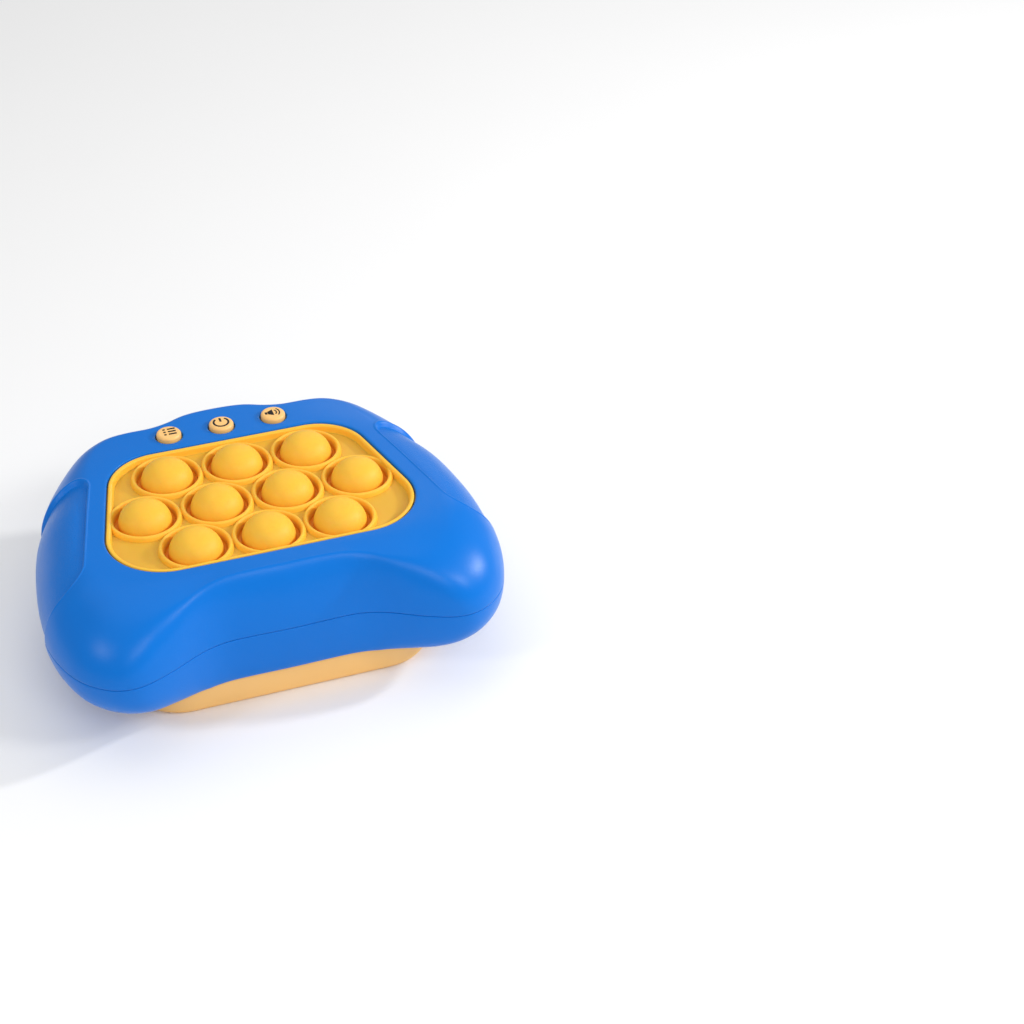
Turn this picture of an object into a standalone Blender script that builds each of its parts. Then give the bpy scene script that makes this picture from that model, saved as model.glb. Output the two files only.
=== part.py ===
"""Electronic bubble pop game: a two-part case with a silicone sheet of ten pop bubbles, three
keys above them, and a sprung plate under the case that pushes every bubble back up.

Metres, +Z up, +Y away from the player. The origin is under the middle, on the ground.
"""

import math

import bmesh
import bpy
from mathutils import Matrix, Vector

MM = 0.001

# Case: heights, walls and the fits between pieces. Its width and depth follow the bubble grid.
REAR_HEIGHT = 19.0 * MM
FRONT_HEIGHT = 23.3 * MM
WALL = 2.2 * MM
GAP = 0.3 * MM
OVERRUN = 2.0 * MM
SIDE_MARGIN = 21.6 * MM
TOP_ROLL = 22.0 * MM
UNDER_ROLL = 21.0 * MM
LIP_HEIGHT = 2.2 * MM
LIP_DEPTH = 1.5 * MM
LIP_WALL = 1.2 * MM
GRIP_INSET = 17.0 * MM
GRIP_DEPTH = 1.0 * MM
GRIP_STEP = 0.8 * MM

# Window for the bubble sheet, and the space left in it round the bubble grid.
WINDOW_SPACE = 0.48 * MM
WINDOW_BACK_SPACE = 5.4 * MM
WINDOW_FRONT_SPACE = 9.0 * MM
WINDOW_BACK_RADIUS = 20.0 * MM
WINDOW_FRONT_RADIUS = 19.0 * MM
WINDOW_MARGIN = 3.0 * MM
FLAT_RIM = 3.2 * MM

# Bubble sheet and bubbles.
SHEET_GAP = 0.35 * MM
RING_DROP = 0.8 * MM
RING_HEIGHT = 2.5 * MM
RING_GROOVE = 1.5 * MM
RING_WIDTH = 1.7 * MM
RING_MERGE = 0.4 * MM
RING_DRAFT = 0.6 * MM
SHEET_THICKNESS = 1.5 * MM
SHEET_LIP_WIDTH = 1.85 * MM
SHEET_FLANGE_WIDTH = 2.6 * MM
BUBBLE_RADIUS = 10.0 * MM
BUBBLE_HEIGHT = 7.7 * MM
BUBBLE_WALL = 1.2 * MM
BUBBLE_TRAVEL = 13.0 * MM

# Keys above the window.
KEY_SPACING = 19.9 * MM
KEY_FROM_WINDOW = 9.4 * MM
KEY_RADIUS = 4.85 * MM
KEY_PROUD = 1.8 * MM
KEY_ROUND = 0.8 * MM
KEY_TRAVEL = 1.0 * MM
KEY_FLANGE_WIDTH = 1.0 * MM
KEY_FLANGE_THICKNESS = 1.2 * MM
KEY_STEM_RADIUS = 1.6 * MM
KEY_STEM_LENGTH = 2.4 * MM
KEY_BOARD_MARGIN = 2.6 * MM
KEY_BOARD_DEPTH = 12.6 * MM
KEY_BOARD_SPACE = 12.9 * MM
KEY_SWITCH_SIDE = 6.0 * MM
KEY_SWITCH_HEIGHT = 3.5 * MM
KEY_PLUNGER_RADIUS = 1.7 * MM
KEY_PLUNGER_HEIGHT = 0.8 * MM

# Light frame under the sheet, and the main circuit board below it.
FRAME_THICKNESS = 5.0 * MM
WELL_SETBACK = 0.2 * MM
EAR_RADIUS = 3.8 * MM
EAR_THICKNESS = 3.0 * MM
EAR_OFFSET = 3.7 * MM
BOARD_THICKNESS = 1.6 * MM
BOARD_CLEARANCE = 2.0 * MM
BOARD_PILLAR_RADIUS = 2.4 * MM
STOP_PILLAR_RADIUS = 2.6 * MM
SWITCH_SIDE = 4.5 * MM
SWITCH_HEIGHT = 3.8 * MM
SWITCH_STEM_SIDE = 2.0 * MM
STEM_CLEARANCE = 0.8 * MM
LED_LENGTH = 3.5 * MM
LED_WIDTH = 2.8 * MM
LED_HEIGHT = 1.5 * MM
LED_OFFSET = 6.0 * MM

# Reset plate, the pusher frame on it and the return springs.
PLATE_FRONT_REACH = 11.0 * MM
PLATE_BACK_REACH = 3.3 * MM
PLATE_FRONT_SETBACK = 1.7 * MM
PLATE_BACK_OUTSET = 0.9 * MM
PLATE_RADIUS = 20.0 * MM
PLATE_GAP = 0.4 * MM
PLATE_WALL = 2.0 * MM
PLATE_DRAFT = 1.2 * MM
PLATE_EDGE = 1.4 * MM
PLATE_FLANGE_WIDTH = 2.5 * MM
PLATE_FLANGE_THICKNESS = 1.5 * MM
PLATE_FLANGE_SETBACK = 6.0 * MM
PLATE_RIM_HEIGHT = 1.2 * MM
PLATE_TRAVEL = 8.0 * MM
PUSHER_THICKNESS = 2.0 * MM
PUSHER_DROP = 0.2 * MM
PUSHER_GAP = 0.8 * MM
PUSHER_BOSS_RADIUS = 3.2 * MM
STAKE_RADIUS = 1.2 * MM
STAKE_PROUD = 0.8 * MM
FINGER_SIDE = 2.2 * MM
FINGER_TIP_SIDE = 1.6 * MM
FINGER_SPACE = 0.6 * MM
FINGER_CLEARANCE = 1.5 * MM
SPRING_RADIUS = 3.8 * MM
SPRING_WIRE = 0.7 * MM

# Battery compartment in the reset plate, for three AAA cells.
CELL_RADIUS = 5.25 * MM
CELL_LENGTH = 43.4 * MM
CELL_NUB_RADIUS = 1.9 * MM
CELL_NUB_LENGTH = 1.0 * MM
CELL_SPACING = 11.1 * MM
CONTACT_THICKNESS = 0.5 * MM
CONTACT_HEIGHT = 8.0 * MM
TONGUE_HEIGHT = 3.4 * MM
TONGUE_TIP_HEIGHT = 1.6 * MM
CONTACT_SPACE = 3.6 * MM
BOX_WALL = 1.8 * MM
BOX_BLOCK = 8.0 * MM
BOX_CLEARANCE = 0.2 * MM
DOOR_LEDGE = 1.5 * MM

# Speaker over slots in the rear shell's floor.
SPEAKER_RADIUS = 8.0 * MM
SPEAKER_HEIGHT = 4.5 * MM
SPEAKER_MAGNET_RADIUS = 4.6 * MM
SPEAKER_MAGNET_HEIGHT = 2.0 * MM
SPEAKER_WALL = 1.2 * MM
SLOT_WIDTH = 1.5 * MM
SLOT_LENGTH = 9.0 * MM
SLOT_SPACING = 3.0 * MM

# Screws.
SCREW_RADIUS = 1.3 * MM
SCREW_HEAD_RADIUS = 2.5 * MM
SCREW_HEAD_HEIGHT = 1.6 * MM
SOCKET_DEPTH = 0.8 * MM
SCREW_LENGTH = 8.0 * MM
BOARD_SCREW_LENGTH = 6.0 * MM
BOSS_RADIUS = 3.0 * MM
WELL_WALL = 1.4 * MM
SEAT_THICKNESS = 1.8 * MM
JOINT_DROP = 6.0 * MM
BOSS_OFFSET = 8.2 * MM
MERGE_DISTANCE = 0.01 * MM

# Half of the plan outline, from the middle of the back round to the middle of the front.
# Each row: x share of the half width, y share of the half depth, share of the full roll,
# share of the height that the roll climbs, and the roll's roundness (2 is an ellipse).
OUTLINE_SHARES = (
    (0.000, 1.000, 0.32, 1.00, 2.0),
    (0.145, 0.986, 0.32, 1.00, 2.0),
    (0.241, 0.937, 0.32, 1.00, 2.0),
    (0.338, 0.906, 0.32, 1.00, 2.0),
    (0.458, 0.909, 0.34, 0.99, 2.0),
    (0.567, 0.902, 0.41, 0.97, 2.0),
    (0.676, 0.843, 0.55, 0.95, 2.0),
    (0.760, 0.725, 0.68, 0.95, 2.0),
    (0.828, 0.594, 0.82, 0.97, 2.0),
    (0.869, 0.486, 0.86, 0.98, 2.0),
    (0.943, 0.247, 0.91, 1.00, 2.0),
    (0.980, 0.000, 0.91, 1.00, 2.0),
    (1.000, -0.247, 0.91, 1.00, 2.0),
    (0.996, -0.509, 0.95, 0.95, 2.0),
    (0.965, -0.694, 1.00, 0.86, 2.0),
    (0.905, -0.856, 1.00, 0.78, 2.0),
    (0.802, -0.972, 1.00, 0.72, 2.0),
    (0.688, -1.000, 0.91, 0.72, 2.0),
    (0.549, -0.934, 0.73, 0.78, 1.9),
    (0.410, -0.836, 0.50, 0.90, 1.7),
    (0.290, -0.787, 0.36, 0.98, 1.55),
    (0.145, -0.785, 0.34, 1.00, 1.5),
    (0.000, -0.790, 0.34, 1.00, 1.5),
)
CENTRE_SHARE = -0.077
UNDER_RISE_SHARE = 0.4
ROLL_LIMIT_SHARE = 0.97
RISE_LEAST_SHARE = 0.6
INNER_ROLL_SHARE = 0.15
CORE_SHARE = 0.6
SLANT_LEAST_SHARE = 0.5
CONE_RIM_SHARE = 0.85
ROW_ANGLE = 60.0
GRIP_BACK_ANGLE = 29.0
GRIP_FRONT_ANGLE = -18.5

# The roll's points, in shares of a quarter turn from the part line to the flat top.
TOP_TURN_SHARES = (0.0, 0.245, 0.49, 0.71)
UNDER_TURN_SHARES = (0.0, 0.37, 0.67)
GRIP_TURN_SHARE = 0.91
TOP_INNER_TURN_SHARES = (0.0, 0.155, 0.58, 1.0)
UNDER_INNER_TURN_SHARES = (0.0, 0.5, 1.0)

# Places that follow the bubble grid, in shares of the pitch.
SPRING_PLACE_SHARES = ((1.60, 0.73), (1.79, -0.81), (-1.60, 0.73), (-1.79, -0.81))
STAKE_PLACE_SHARES = ((1.30, 1.12), (1.62, -1.30), (-1.30, 1.12), (-1.62, -1.30))
EAR_ANGLES = (24.0, 156.0, -20.0, -160.0)
CASE_SCREW_ANGLES = (51.0, 129.0, -37.0, -143.0)

# Mesh fineness.
OUTLINE_STEPS = 10
COLUMNS = 40
SMOOTH_ANGLE = 35.0
COLUMN_LEAST_ANGLE = 2.0
FLAT_STEPS = 2
CORNER_STEPS = 5
RING_SIDES = 14
BORE_SIDES = 12
BUBBLE_ARC_STEPS = 4
BUBBLE_INNER_STEPS = 2
BOSS_SIDES = 8
PILOT_SIDES = 6
SPRING_TURNS = 3
SPRING_TURN_POINTS = 7

# The bubble grid and what follows it in plan: rings touch, the window holds the grid, the
# case wraps the window and the keys, and the reset plate stands under both.
RING_INNER_RADIUS = BUBBLE_RADIUS + RING_GROOVE
RING_OUTER_RADIUS = RING_INNER_RADIUS + RING_WIDTH
PITCH = 2 * RING_OUTER_RADIUS - RING_MERGE
ROW_SPACING = PITCH * math.sin(math.radians(ROW_ANGLE))
WELL_RADIUS = RING_INNER_RADIUS - WELL_SETBACK
WINDOW_DEPTH = 2 * (ROW_SPACING + RING_OUTER_RADIUS + WINDOW_SPACE)
WINDOW_BACK_WIDTH = 2 * (PITCH + RING_OUTER_RADIUS + WINDOW_BACK_SPACE)
WINDOW_FRONT_WIDTH = 3 * PITCH + 2 * (RING_OUTER_RADIUS + WINDOW_FRONT_SPACE)
KEY_Y = WINDOW_DEPTH / 2 + KEY_FROM_WINDOW
KEY_BOARD_WIDTH = 2 * (KEY_SPACING + KEY_BOARD_MARGIN) + KEY_SWITCH_SIDE
CASE_WIDTH = WINDOW_FRONT_WIDTH + 2 * SIDE_MARGIN
CASE_DEPTH = 2 * (KEY_Y + KEY_BOARD_DEPTH / 2 + KEY_BOARD_SPACE)
CENTRE_Y = CENTRE_SHARE * CASE_DEPTH / 2
PLATE_FRONT = WINDOW_DEPTH / 2 + PLATE_FRONT_REACH
PLATE_BACK = WINDOW_DEPTH / 2 + PLATE_BACK_REACH
PLATE_FRONT_WIDTH = WINDOW_FRONT_WIDTH - 2 * PLATE_FRONT_SETBACK
PLATE_BACK_WIDTH = WINDOW_BACK_WIDTH + 2 * PLATE_BACK_OUTSET
FINGER_OFFSET = SWITCH_SIDE / 2 + GAP + FINGER_SPACE + FINGER_SIDE / 2

# The battery compartment, and the standoff that it needs under the pusher frame.
BOX_HALF_DEPTH = CELL_SPACING + CELL_RADIUS + GAP
BOX_HALF_LENGTH = CELL_LENGTH / 2 + CONTACT_SPACE
DOOR_SEAT = SCREW_HEAD_HEIGHT + 2 * GAP
DOOR_THICKNESS = DOOR_SEAT + SEAT_THICKNESS / 2
Z_BOX = DOOR_THICKNESS + GAP
Z_CELL = Z_BOX + GAP + CELL_RADIUS
Z_BOX_TOP = Z_CELL + CELL_RADIUS + GAP
DOOR_LEFT = -BOX_HALF_LENGTH - DOOR_LEDGE
DOOR_RIGHT = BOX_HALF_LENGTH + BOX_BLOCK
DOOR_HALF_DEPTH = BOX_HALF_DEPTH + DOOR_LEDGE
DOOR_SCREW_PLACE = (BOX_HALF_LENGTH + BOX_BLOCK / 2, 0.0)
PLATE_ABOVE_FLOOR = WALL + GAP + PLATE_FLANGE_THICKNESS + PLATE_RIM_HEIGHT
PUSHER_BELOW_RIM = PUSHER_DROP + PUSHER_THICKNESS
STANDOFF = Z_BOX_TOP + BOX_WALL + BOX_CLEARANCE + PUSHER_BELOW_RIM - PLATE_ABOVE_FLOOR

# Heights worked out from the sizes above.
Z_FLOOR = STANDOFF
Z_PART = Z_FLOOR + REAR_HEIGHT
Z_TOP = Z_PART + FRONT_HEIGHT
Z_CEILING = Z_TOP - WALL
Z_RING = Z_TOP - RING_DROP
Z_SHEET = Z_RING - RING_HEIGHT
Z_SHEET_UNDER = Z_SHEET - SHEET_THICKNESS
Z_BUBBLE = Z_SHEET + BUBBLE_HEIGHT
Z_FRAME = Z_SHEET_UNDER - GAP
Z_FRAME_UNDER = Z_FRAME - FRAME_THICKNESS
Z_BOARD = Z_SHEET_UNDER - BUBBLE_TRAVEL - BOARD_CLEARANCE
Z_BOARD_UNDER = Z_BOARD - BOARD_THICKNESS
Z_LEDGE = Z_FLOOR + WALL
Z_PLATE_FLANGE = Z_LEDGE + GAP
Z_PLATE_TOP = Z_PLATE_FLANGE + PLATE_FLANGE_THICKNESS + PLATE_RIM_HEIGHT
Z_PUSHER = Z_PLATE_TOP - PUSHER_DROP
Z_PUSHER_UNDER = Z_PUSHER - PUSHER_THICKNESS
Z_JOINT = Z_PART - JOINT_DROP

# The dome is a sphere's cap: its radius follows from the cap's rim and height.
DOME_RADIUS = (BUBBLE_RADIUS**2 + BUBBLE_HEIGHT**2) / (2 * BUBBLE_HEIGHT)


def bubble_places():
    """The ten bubble centres: rows of three, four and three, back row first."""
    places = []
    for row, count in ((1, 3), (0, 4), (-1, 3)):
        for column in range(count):
            places.append(((column - (count - 1) / 2) * PITCH, row * ROW_SPACING))
    return places


BUBBLES = bubble_places()


# Scene, collections and materials.


def clear_scene():
    for thing in list(bpy.data.objects):
        bpy.data.objects.remove(thing, do_unlink=True)


def new_collection(name, hidden=False):
    group = bpy.data.collections.new(name)
    bpy.context.scene.collection.children.link(group)
    group.hide_render = hidden
    return group


clear_scene()
PARTS = new_collection("bubble_pop_game")
CUTTERS = new_collection("cutters", hidden=True)


def material(name, colour, roughness, metallic=0.0):
    made = bpy.data.materials.new(name)
    made.use_nodes = True
    shader = made.node_tree.nodes["Principled BSDF"]
    shader.inputs["Base Color"].default_value = (*colour, 1.0)
    shader.inputs["Roughness"].default_value = roughness
    shader.inputs["Metallic"].default_value = metallic
    return made


BLUE = material("blue_abs", (0.02, 0.18, 0.72), 0.38)
YELLOW = material("yellow_silicone", (0.90, 0.52, 0.07), 0.5)
PEACH = material("peach_abs", (0.90, 0.50, 0.16), 0.42)
WHITE = material("white_abs", (0.80, 0.80, 0.78), 0.45)
GREEN = material("board_laminate", (0.03, 0.22, 0.09), 0.5)
STEEL = material("steel", (0.55, 0.55, 0.56), 0.3, 1.0)
CELL = material("cell_jacket", (0.06, 0.06, 0.07), 0.35)
CONE = material("speaker_black", (0.03, 0.03, 0.03), 0.6)


# Mesh helpers.


def finish(bm, name, skin, hidden=False):
    """Turns a bmesh into a named object, smooth where its faces meet at a low angle."""
    bmesh.ops.recalc_face_normals(bm, faces=bm.faces)
    mesh = bpy.data.meshes.new(name)
    bm.to_mesh(mesh)
    bm.free()
    thing = bpy.data.objects.new(name, mesh)
    if hidden:
        CUTTERS.objects.link(thing)
        thing.hide_render = True
        thing.display_type = "WIRE"
        return thing
    mesh.shade_smooth()
    mesh.set_sharp_from_angle(angle=math.radians(SMOOTH_ANGLE))
    mesh.materials.append(skin)
    PARTS.objects.link(thing)
    return thing


def add_cylinder(bm, place, low, high, radius, sides=BOSS_SIDES, top_radius=None):
    """An upright cylinder or cone between two heights."""
    middle = Matrix.Translation((place[0], place[1], (low + high) / 2))
    bmesh.ops.create_cone(
        bm,
        cap_ends=True,
        segments=sides,
        radius1=radius,
        radius2=radius if top_radius is None else top_radius,
        depth=high - low,
        matrix=middle,
    )


def add_post(bm, place, low, high, side, top_side=None):
    """An upright square post, or a tapered one, given by its sides."""
    turn = Matrix.Rotation(math.pi / 4, 4, "Z")
    middle = Matrix.Translation((place[0], place[1], (low + high) / 2))
    bmesh.ops.create_cone(
        bm,
        cap_ends=True,
        segments=4,
        radius1=side / math.sqrt(2),
        radius2=(side if top_side is None else top_side) / math.sqrt(2),
        depth=high - low,
        matrix=middle @ turn,
    )


def add_box(bm, low, high):
    """A box between two corners."""
    low, high = Vector(low), Vector(high)
    place = Matrix.Translation((low + high) / 2)
    size = Matrix.Diagonal((*(high - low), 1.0))
    bmesh.ops.create_cube(bm, size=1.0, matrix=place @ size)


def add_rings(bm, rings):
    """A closed solid through rings of points of one count, with a flat face on each end."""
    loops = [[bm.verts.new(point) for point in ring] for ring in rings]
    for lower, upper in zip(loops, loops[1:]):
        for i, start in enumerate(lower):
            j = (i + 1) % len(lower)
            bm.faces.new((start, lower[j], upper[j], upper[i]))
    bm.faces.new(loops[0])
    bm.faces.new(loops[-1])


def tool(name, build):
    """A hidden object for Booleans, filled by build."""
    bm = bmesh.new()
    build(bm)
    return finish(bm, name, None, hidden=True)


def boolean(target, other, operation):
    """A Boolean whose shapes may also overlap one another within the other object."""
    step = target.modifiers.new(other.name, "BOOLEAN")
    step.operation = operation
    step.solver = "EXACT"
    step.use_self = True
    step.object = other


def turned(name, profile, skin, place=(0.0, 0.0), sides=BOSS_SIDES, hidden=False):
    """A solid turned about its own upright axis. The profile runs down its outer side."""
    bm = bmesh.new()
    points = [bm.verts.new((radius, 0.0, height)) for radius, height in profile]
    for above, below in zip(points, points[1:]):
        bm.edges.new((above, below))
    mesh = bpy.data.meshes.new(name)
    bm.to_mesh(mesh)
    bm.free()
    thing = bpy.data.objects.new(name, mesh)
    thing.location = (place[0], place[1], 0.0)
    turn = thing.modifiers.new("turn", "SCREW")
    turn.steps = sides
    turn.render_steps = sides
    turn.use_merge_vertices = True
    turn.merge_threshold = MERGE_DISTANCE
    if hidden:
        CUTTERS.objects.link(thing)
        thing.hide_render = True
        thing.display_type = "WIRE"
        return thing
    turn.use_smooth_shade = True
    mesh.materials.append(skin)
    PARTS.objects.link(thing)
    return thing


# Rounded trapezoids: the window, the sheet, the boards and the reset plate.


def trapezoid(back_width, front_width, back, front, back_radius, front_radius, grow=0.0):
    """Points round a trapezoid with round corners, moved outwards by grow."""
    corners = (
        (back_width / 2, back, back_radius),
        (-back_width / 2, back, back_radius),
        (-front_width / 2, front, front_radius),
        (front_width / 2, front, front_radius),
    )
    points = []
    for i, (x, y, radius) in enumerate(corners):
        here = Vector((x, y))
        before = (Vector(corners[i - 1][:2]) - here).normalized()
        after = (Vector(corners[(i + 1) % 4][:2]) - here).normalized()
        half = before.angle(after) / 2
        centre = here + (before + after).normalized() * radius / math.sin(half)
        start = math.atan2(*reversed(centre_to_edge(here, before, radius, half) - centre))
        sweep = math.pi - 2 * half
        for step in range(CORNER_STEPS + 1):
            turn = start + sweep * step / CORNER_STEPS
            points.append(centre + Vector((math.cos(turn), math.sin(turn))) * (radius + grow))
    return [(point.x, point.y) for point in points]


def centre_to_edge(corner, along, radius, half):
    """The point where a corner's arc meets the straight edge that leaves the corner."""
    return corner + along * radius / math.tan(half)


def window(grow=0.0):
    return trapezoid(
        WINDOW_BACK_WIDTH,
        WINDOW_FRONT_WIDTH,
        WINDOW_DEPTH / 2,
        -WINDOW_DEPTH / 2,
        WINDOW_BACK_RADIUS,
        WINDOW_FRONT_RADIUS,
        grow,
    )


def plate(grow=0.0):
    return trapezoid(
        PLATE_BACK_WIDTH,
        PLATE_FRONT_WIDTH,
        PLATE_BACK,
        -PLATE_FRONT,
        PLATE_RADIUS,
        PLATE_RADIUS,
        grow,
    )


def at_height(points, height):
    return [(x, y, height) for x, y in points]


def reach(points, angle):
    """How far a ray from the case's centre goes at this angle before it leaves the outline."""
    aim = Vector((math.cos(angle), math.sin(angle)))
    for i, start in enumerate(points):
        a = Vector((start[0], start[1] - CENTRE_Y))
        b = Vector((points[i - 1][0], points[i - 1][1] - CENTRE_Y))
        edge = b - a
        across = aim.x * edge.y - aim.y * edge.x
        if abs(across) < abs(edge.length) * 1e-9:
            continue
        along = (a.x * edge.y - a.y * edge.x) / across
        part = (a.x * aim.y - a.y * aim.x) / across
        if along > 0 and -1e-6 <= part <= 1 + 1e-6:
            return along
    raise ValueError("the ray leaves no outline")


def polar(angle, distance):
    return (math.cos(angle) * distance, CENTRE_Y + math.sin(angle) * distance)


# The case's surface: a section at each angle round the plan outline.


def smooth_loop(points, steps):
    """A Catmull-Rom curve through a closed loop of points, with steps points a stretch."""
    made = []
    for i, here in enumerate(points):
        before, after = points[i - 1], points[(i + 1) % len(points)]
        beyond = points[(i + 2) % len(points)]
        for step in range(steps):
            t = step / steps
            made.append(
                tuple(
                    0.5
                    * (
                        2 * b
                        + (c - a) * t
                        + (2 * a - 5 * b + 4 * c - d) * t**2
                        + (3 * b - a - 3 * c + d) * t**3
                    )
                    for a, b, c, d in zip(before, here, after, beyond)
                )
            )
    return made


def outline_table():
    """Rows of angle, radius, roll share, climb share, roundness and slant, in angle order."""
    mirrored = [(-row[0], *row[1:]) for row in OUTLINE_SHARES[-2:0:-1]]
    loop = smooth_loop(list(OUTLINE_SHARES) + mirrored, OUTLINE_STEPS)
    widest = max(row[0] for row in loop)
    back, front = max(row[1] for row in loop), min(row[1] for row in loop)
    rows = []
    for x, y, roll, climb, roundness in loop:
        x = x / widest * CASE_WIDTH / 2
        y = ((y - front) / (back - front) - 0.5) * CASE_DEPTH
        rows.append([x, y, roll, climb, roundness])
    table = []
    for i, (x, y, roll, climb, roundness) in enumerate(rows):
        after, before = rows[(i + 1) % len(rows)], rows[i - 1]
        along = Vector((after[0] - before[0], after[1] - before[1])).normalized()
        ray = Vector((x, y - CENTRE_Y))
        slant = max(abs(ray.normalized().cross(along)), SLANT_LEAST_SHARE)
        table.append((math.atan2(ray.y, ray.x), ray.length, roll, climb, roundness, slant))
    table.sort()
    first, last = table[0], table[-1]
    whole = 2 * math.pi
    return [(last[0] - whole, *last[1:])] + table + [(first[0] + whole, *first[1:])]


OUTLINE = outline_table()


def outline_at(angle):
    """Radius, roll share, climb share, roundness and slant at one angle."""
    for low, high in zip(OUTLINE, OUTLINE[1:]):
        if low[0] <= angle < high[0]:
            part = (angle - low[0]) / (high[0] - low[0])
            return [a + (b - a) * part for a, b in zip(low[1:], high[1:])]
    raise ValueError("angle out of range")


def section(angle, front, inset=0.0):
    """The case's section at one angle, as (radius, height) from the part line inwards.

    Front is the shell above the part line. Inset moves the section into the wall. The outer
    surface has more points than the surfaces inside it, and two of them bound the grip's step.
    """
    outer, roll_share, climb_share, roundness, slant = outline_at(angle)
    if front:
        height, roll, opening = FRONT_HEIGHT, TOP_ROLL, reach(window(), angle)
        turns = TOP_TURN_SHARES
    else:
        height, roll, opening = REAR_HEIGHT, UNDER_ROLL, reach(plate(), angle)
        climb_share = 1 - (1 - climb_share) * UNDER_RISE_SHARE
        roundness = 2.0
        turns = UNDER_TURN_SHARES
    flat = outer - opening
    run = max(flat - FLAT_RIM, flat * RISE_LEAST_SHARE)
    roll = min(roll * roll_share, run * ROLL_LIMIT_SHARE)
    climb = height * climb_share
    quarter = math.pi / 2
    edge = GRIP_TURN_SHARE
    if roll > GRIP_INSET:
        edge = math.acos(1 - GRIP_INSET / roll) / quarter
    turns = (*turns, edge - GRIP_STEP / roll / quarter, edge, 1.0)
    if inset > GRIP_DEPTH:
        turns = TOP_INNER_TURN_SHARES if front else UNDER_INNER_TURN_SHARES
    # A parallel surface inside an arc is a smaller arc about the same centre.
    side = inset / slant
    small_roll = max(roll - side, inset * INNER_ROLL_SHARE)
    line = []
    for turn in turns:
        turn *= quarter
        across = 1 - math.cos(turn) ** (2 / roundness)
        up = math.sin(turn) ** (2 / roundness)
        line.append((side + small_roll * across, (climb - inset) * up))
    start = side + small_roll
    end = max(run, start + side * INNER_ROLL_SHARE)
    steps = 1 if inset > GRIP_DEPTH else FLAT_STEPS
    for k in range(1, steps + 1):
        line.append((start + (end - start) * k / steps, climb - inset))
    line.append((max(flat, end) + WINDOW_MARGIN, climb - inset))
    way = 1 if front else -1
    points = []
    for inward, rise in line:
        share = min(inward / run, 1.0)
        rise += (height - climb) * share**2 * (3 - 2 * share)
        points.append((outer - inward, Z_PART + way * rise))
    return points


def in_grip(angle):
    """Whether this angle, folded onto the right-hand side, lies on a grip."""
    folded = math.degrees(math.atan2(math.sin(angle), abs(math.cos(angle))))
    return GRIP_FRONT_ANGLE < folded < GRIP_BACK_ANGLE


def columns():
    """Angles round the case, closer where the outline bends, with two at each grip's end."""
    total = [0.0]
    for before, low, high in zip(OUTLINE, OUTLINE[1:], OUTLINE[2:]):
        a, b, c = (Vector(polar(row[0], row[1])) for row in (before, low, high))
        bend = abs((b - a).angle_signed(c - b)) if (c - b).length and (b - a).length else 0.0
        total.append(total[-1] + (c - b).length / CASE_WIDTH + bend / math.pi)
    angles = []
    k = 0
    for i in range(COLUMNS):
        aim = total[-1] * (i + 0.5) / COLUMNS
        while total[k + 1] < aim:
            k += 1
        part = (aim - total[k]) / (total[k + 1] - total[k])
        low, high = OUTLINE[k + 1][0], OUTLINE[k + 2][0]
        angles.append(low + (high - low) * part)
    half_step = math.degrees(GRIP_STEP / CASE_WIDTH)
    ends = [math.radians(GRIP_BACK_ANGLE + side) for side in (-half_step, half_step)]
    ends += [math.radians(GRIP_FRONT_ANGLE + side) for side in (-half_step, half_step)]
    # The outline's widest and foremost points, so that the overall size is true.
    ends.append(max(OUTLINE, key=lambda row: row[1] * math.cos(row[0]))[0])
    ends.append(min(OUTLINE, key=lambda row: (row[1] * math.sin(row[0]), abs(row[0])))[0])
    ends += [math.pi - end if end > 0 else -math.pi - end for end in ends]
    ends.append(math.pi / 2)
    apart = math.radians(COLUMN_LEAST_ANGLE)
    kept = [a for a in angles if all(abs(a - end) > apart for end in ends)]
    return sorted(kept + ends)


COLUMN_ANGLES = columns()


def shell_line(angle, front):
    """The closed section of one shell: the outer side inwards, then the inner side back."""
    smooth = section(angle, front)
    grip = section(angle, front, GRIP_DEPTH) if in_grip(angle) else smooth
    step = len(smooth) - FLAT_STEPS - 3
    outer = grip[:step] + smooth[step:]
    inner = section(angle, front, WALL)
    slant = outline_at(angle)[-1]
    way = 1 if front else -1
    outer[0] = (outer[0][0], Z_PART + way * GAP / 2)
    if front:
        inner[0] = (inner[0][0], Z_PART + GAP / 2)
        return outer + inner[::-1]
    # The rear shell carries a lip that stands inside the front shell's wall.
    lip_outer = smooth[0][0] - (WALL + 2 * GAP) / slant
    lip_inner = lip_outer - LIP_WALL / slant
    lip = [
        (lip_inner, Z_PART - LIP_DEPTH),
        (lip_inner, Z_PART + LIP_HEIGHT),
        (lip_outer, Z_PART + LIP_HEIGHT),
        (lip_outer, Z_PART - GAP / 2),
    ]
    return outer + inner[:0:-1] + lip


def shell_body(bm, front):
    """A shell as one loft of closed sections all the way round."""
    loops = []
    for angle in COLUMN_ANGLES:
        line = shell_line(angle, front)
        loops.append([bm.verts.new((*polar(angle, radius), z)) for radius, z in line])
    for i, here in enumerate(loops):
        there = loops[(i + 1) % len(loops)]
        for k in range(len(here)):
            n = (k + 1) % len(here)
            bm.faces.new((here[k], there[k], there[n], here[n]))


def add_band(bm, rings):
    """A closed solid that runs round through rings, with the last joined to the first."""
    loops = [[bm.verts.new(point) for point in ring] for ring in rings]
    for k, lower in enumerate(loops):
        upper = loops[(k + 1) % len(loops)]
        for i, start in enumerate(lower):
            j = (i + 1) % len(lower)
            bm.faces.new((start, lower[j], upper[j], upper[i]))


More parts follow.
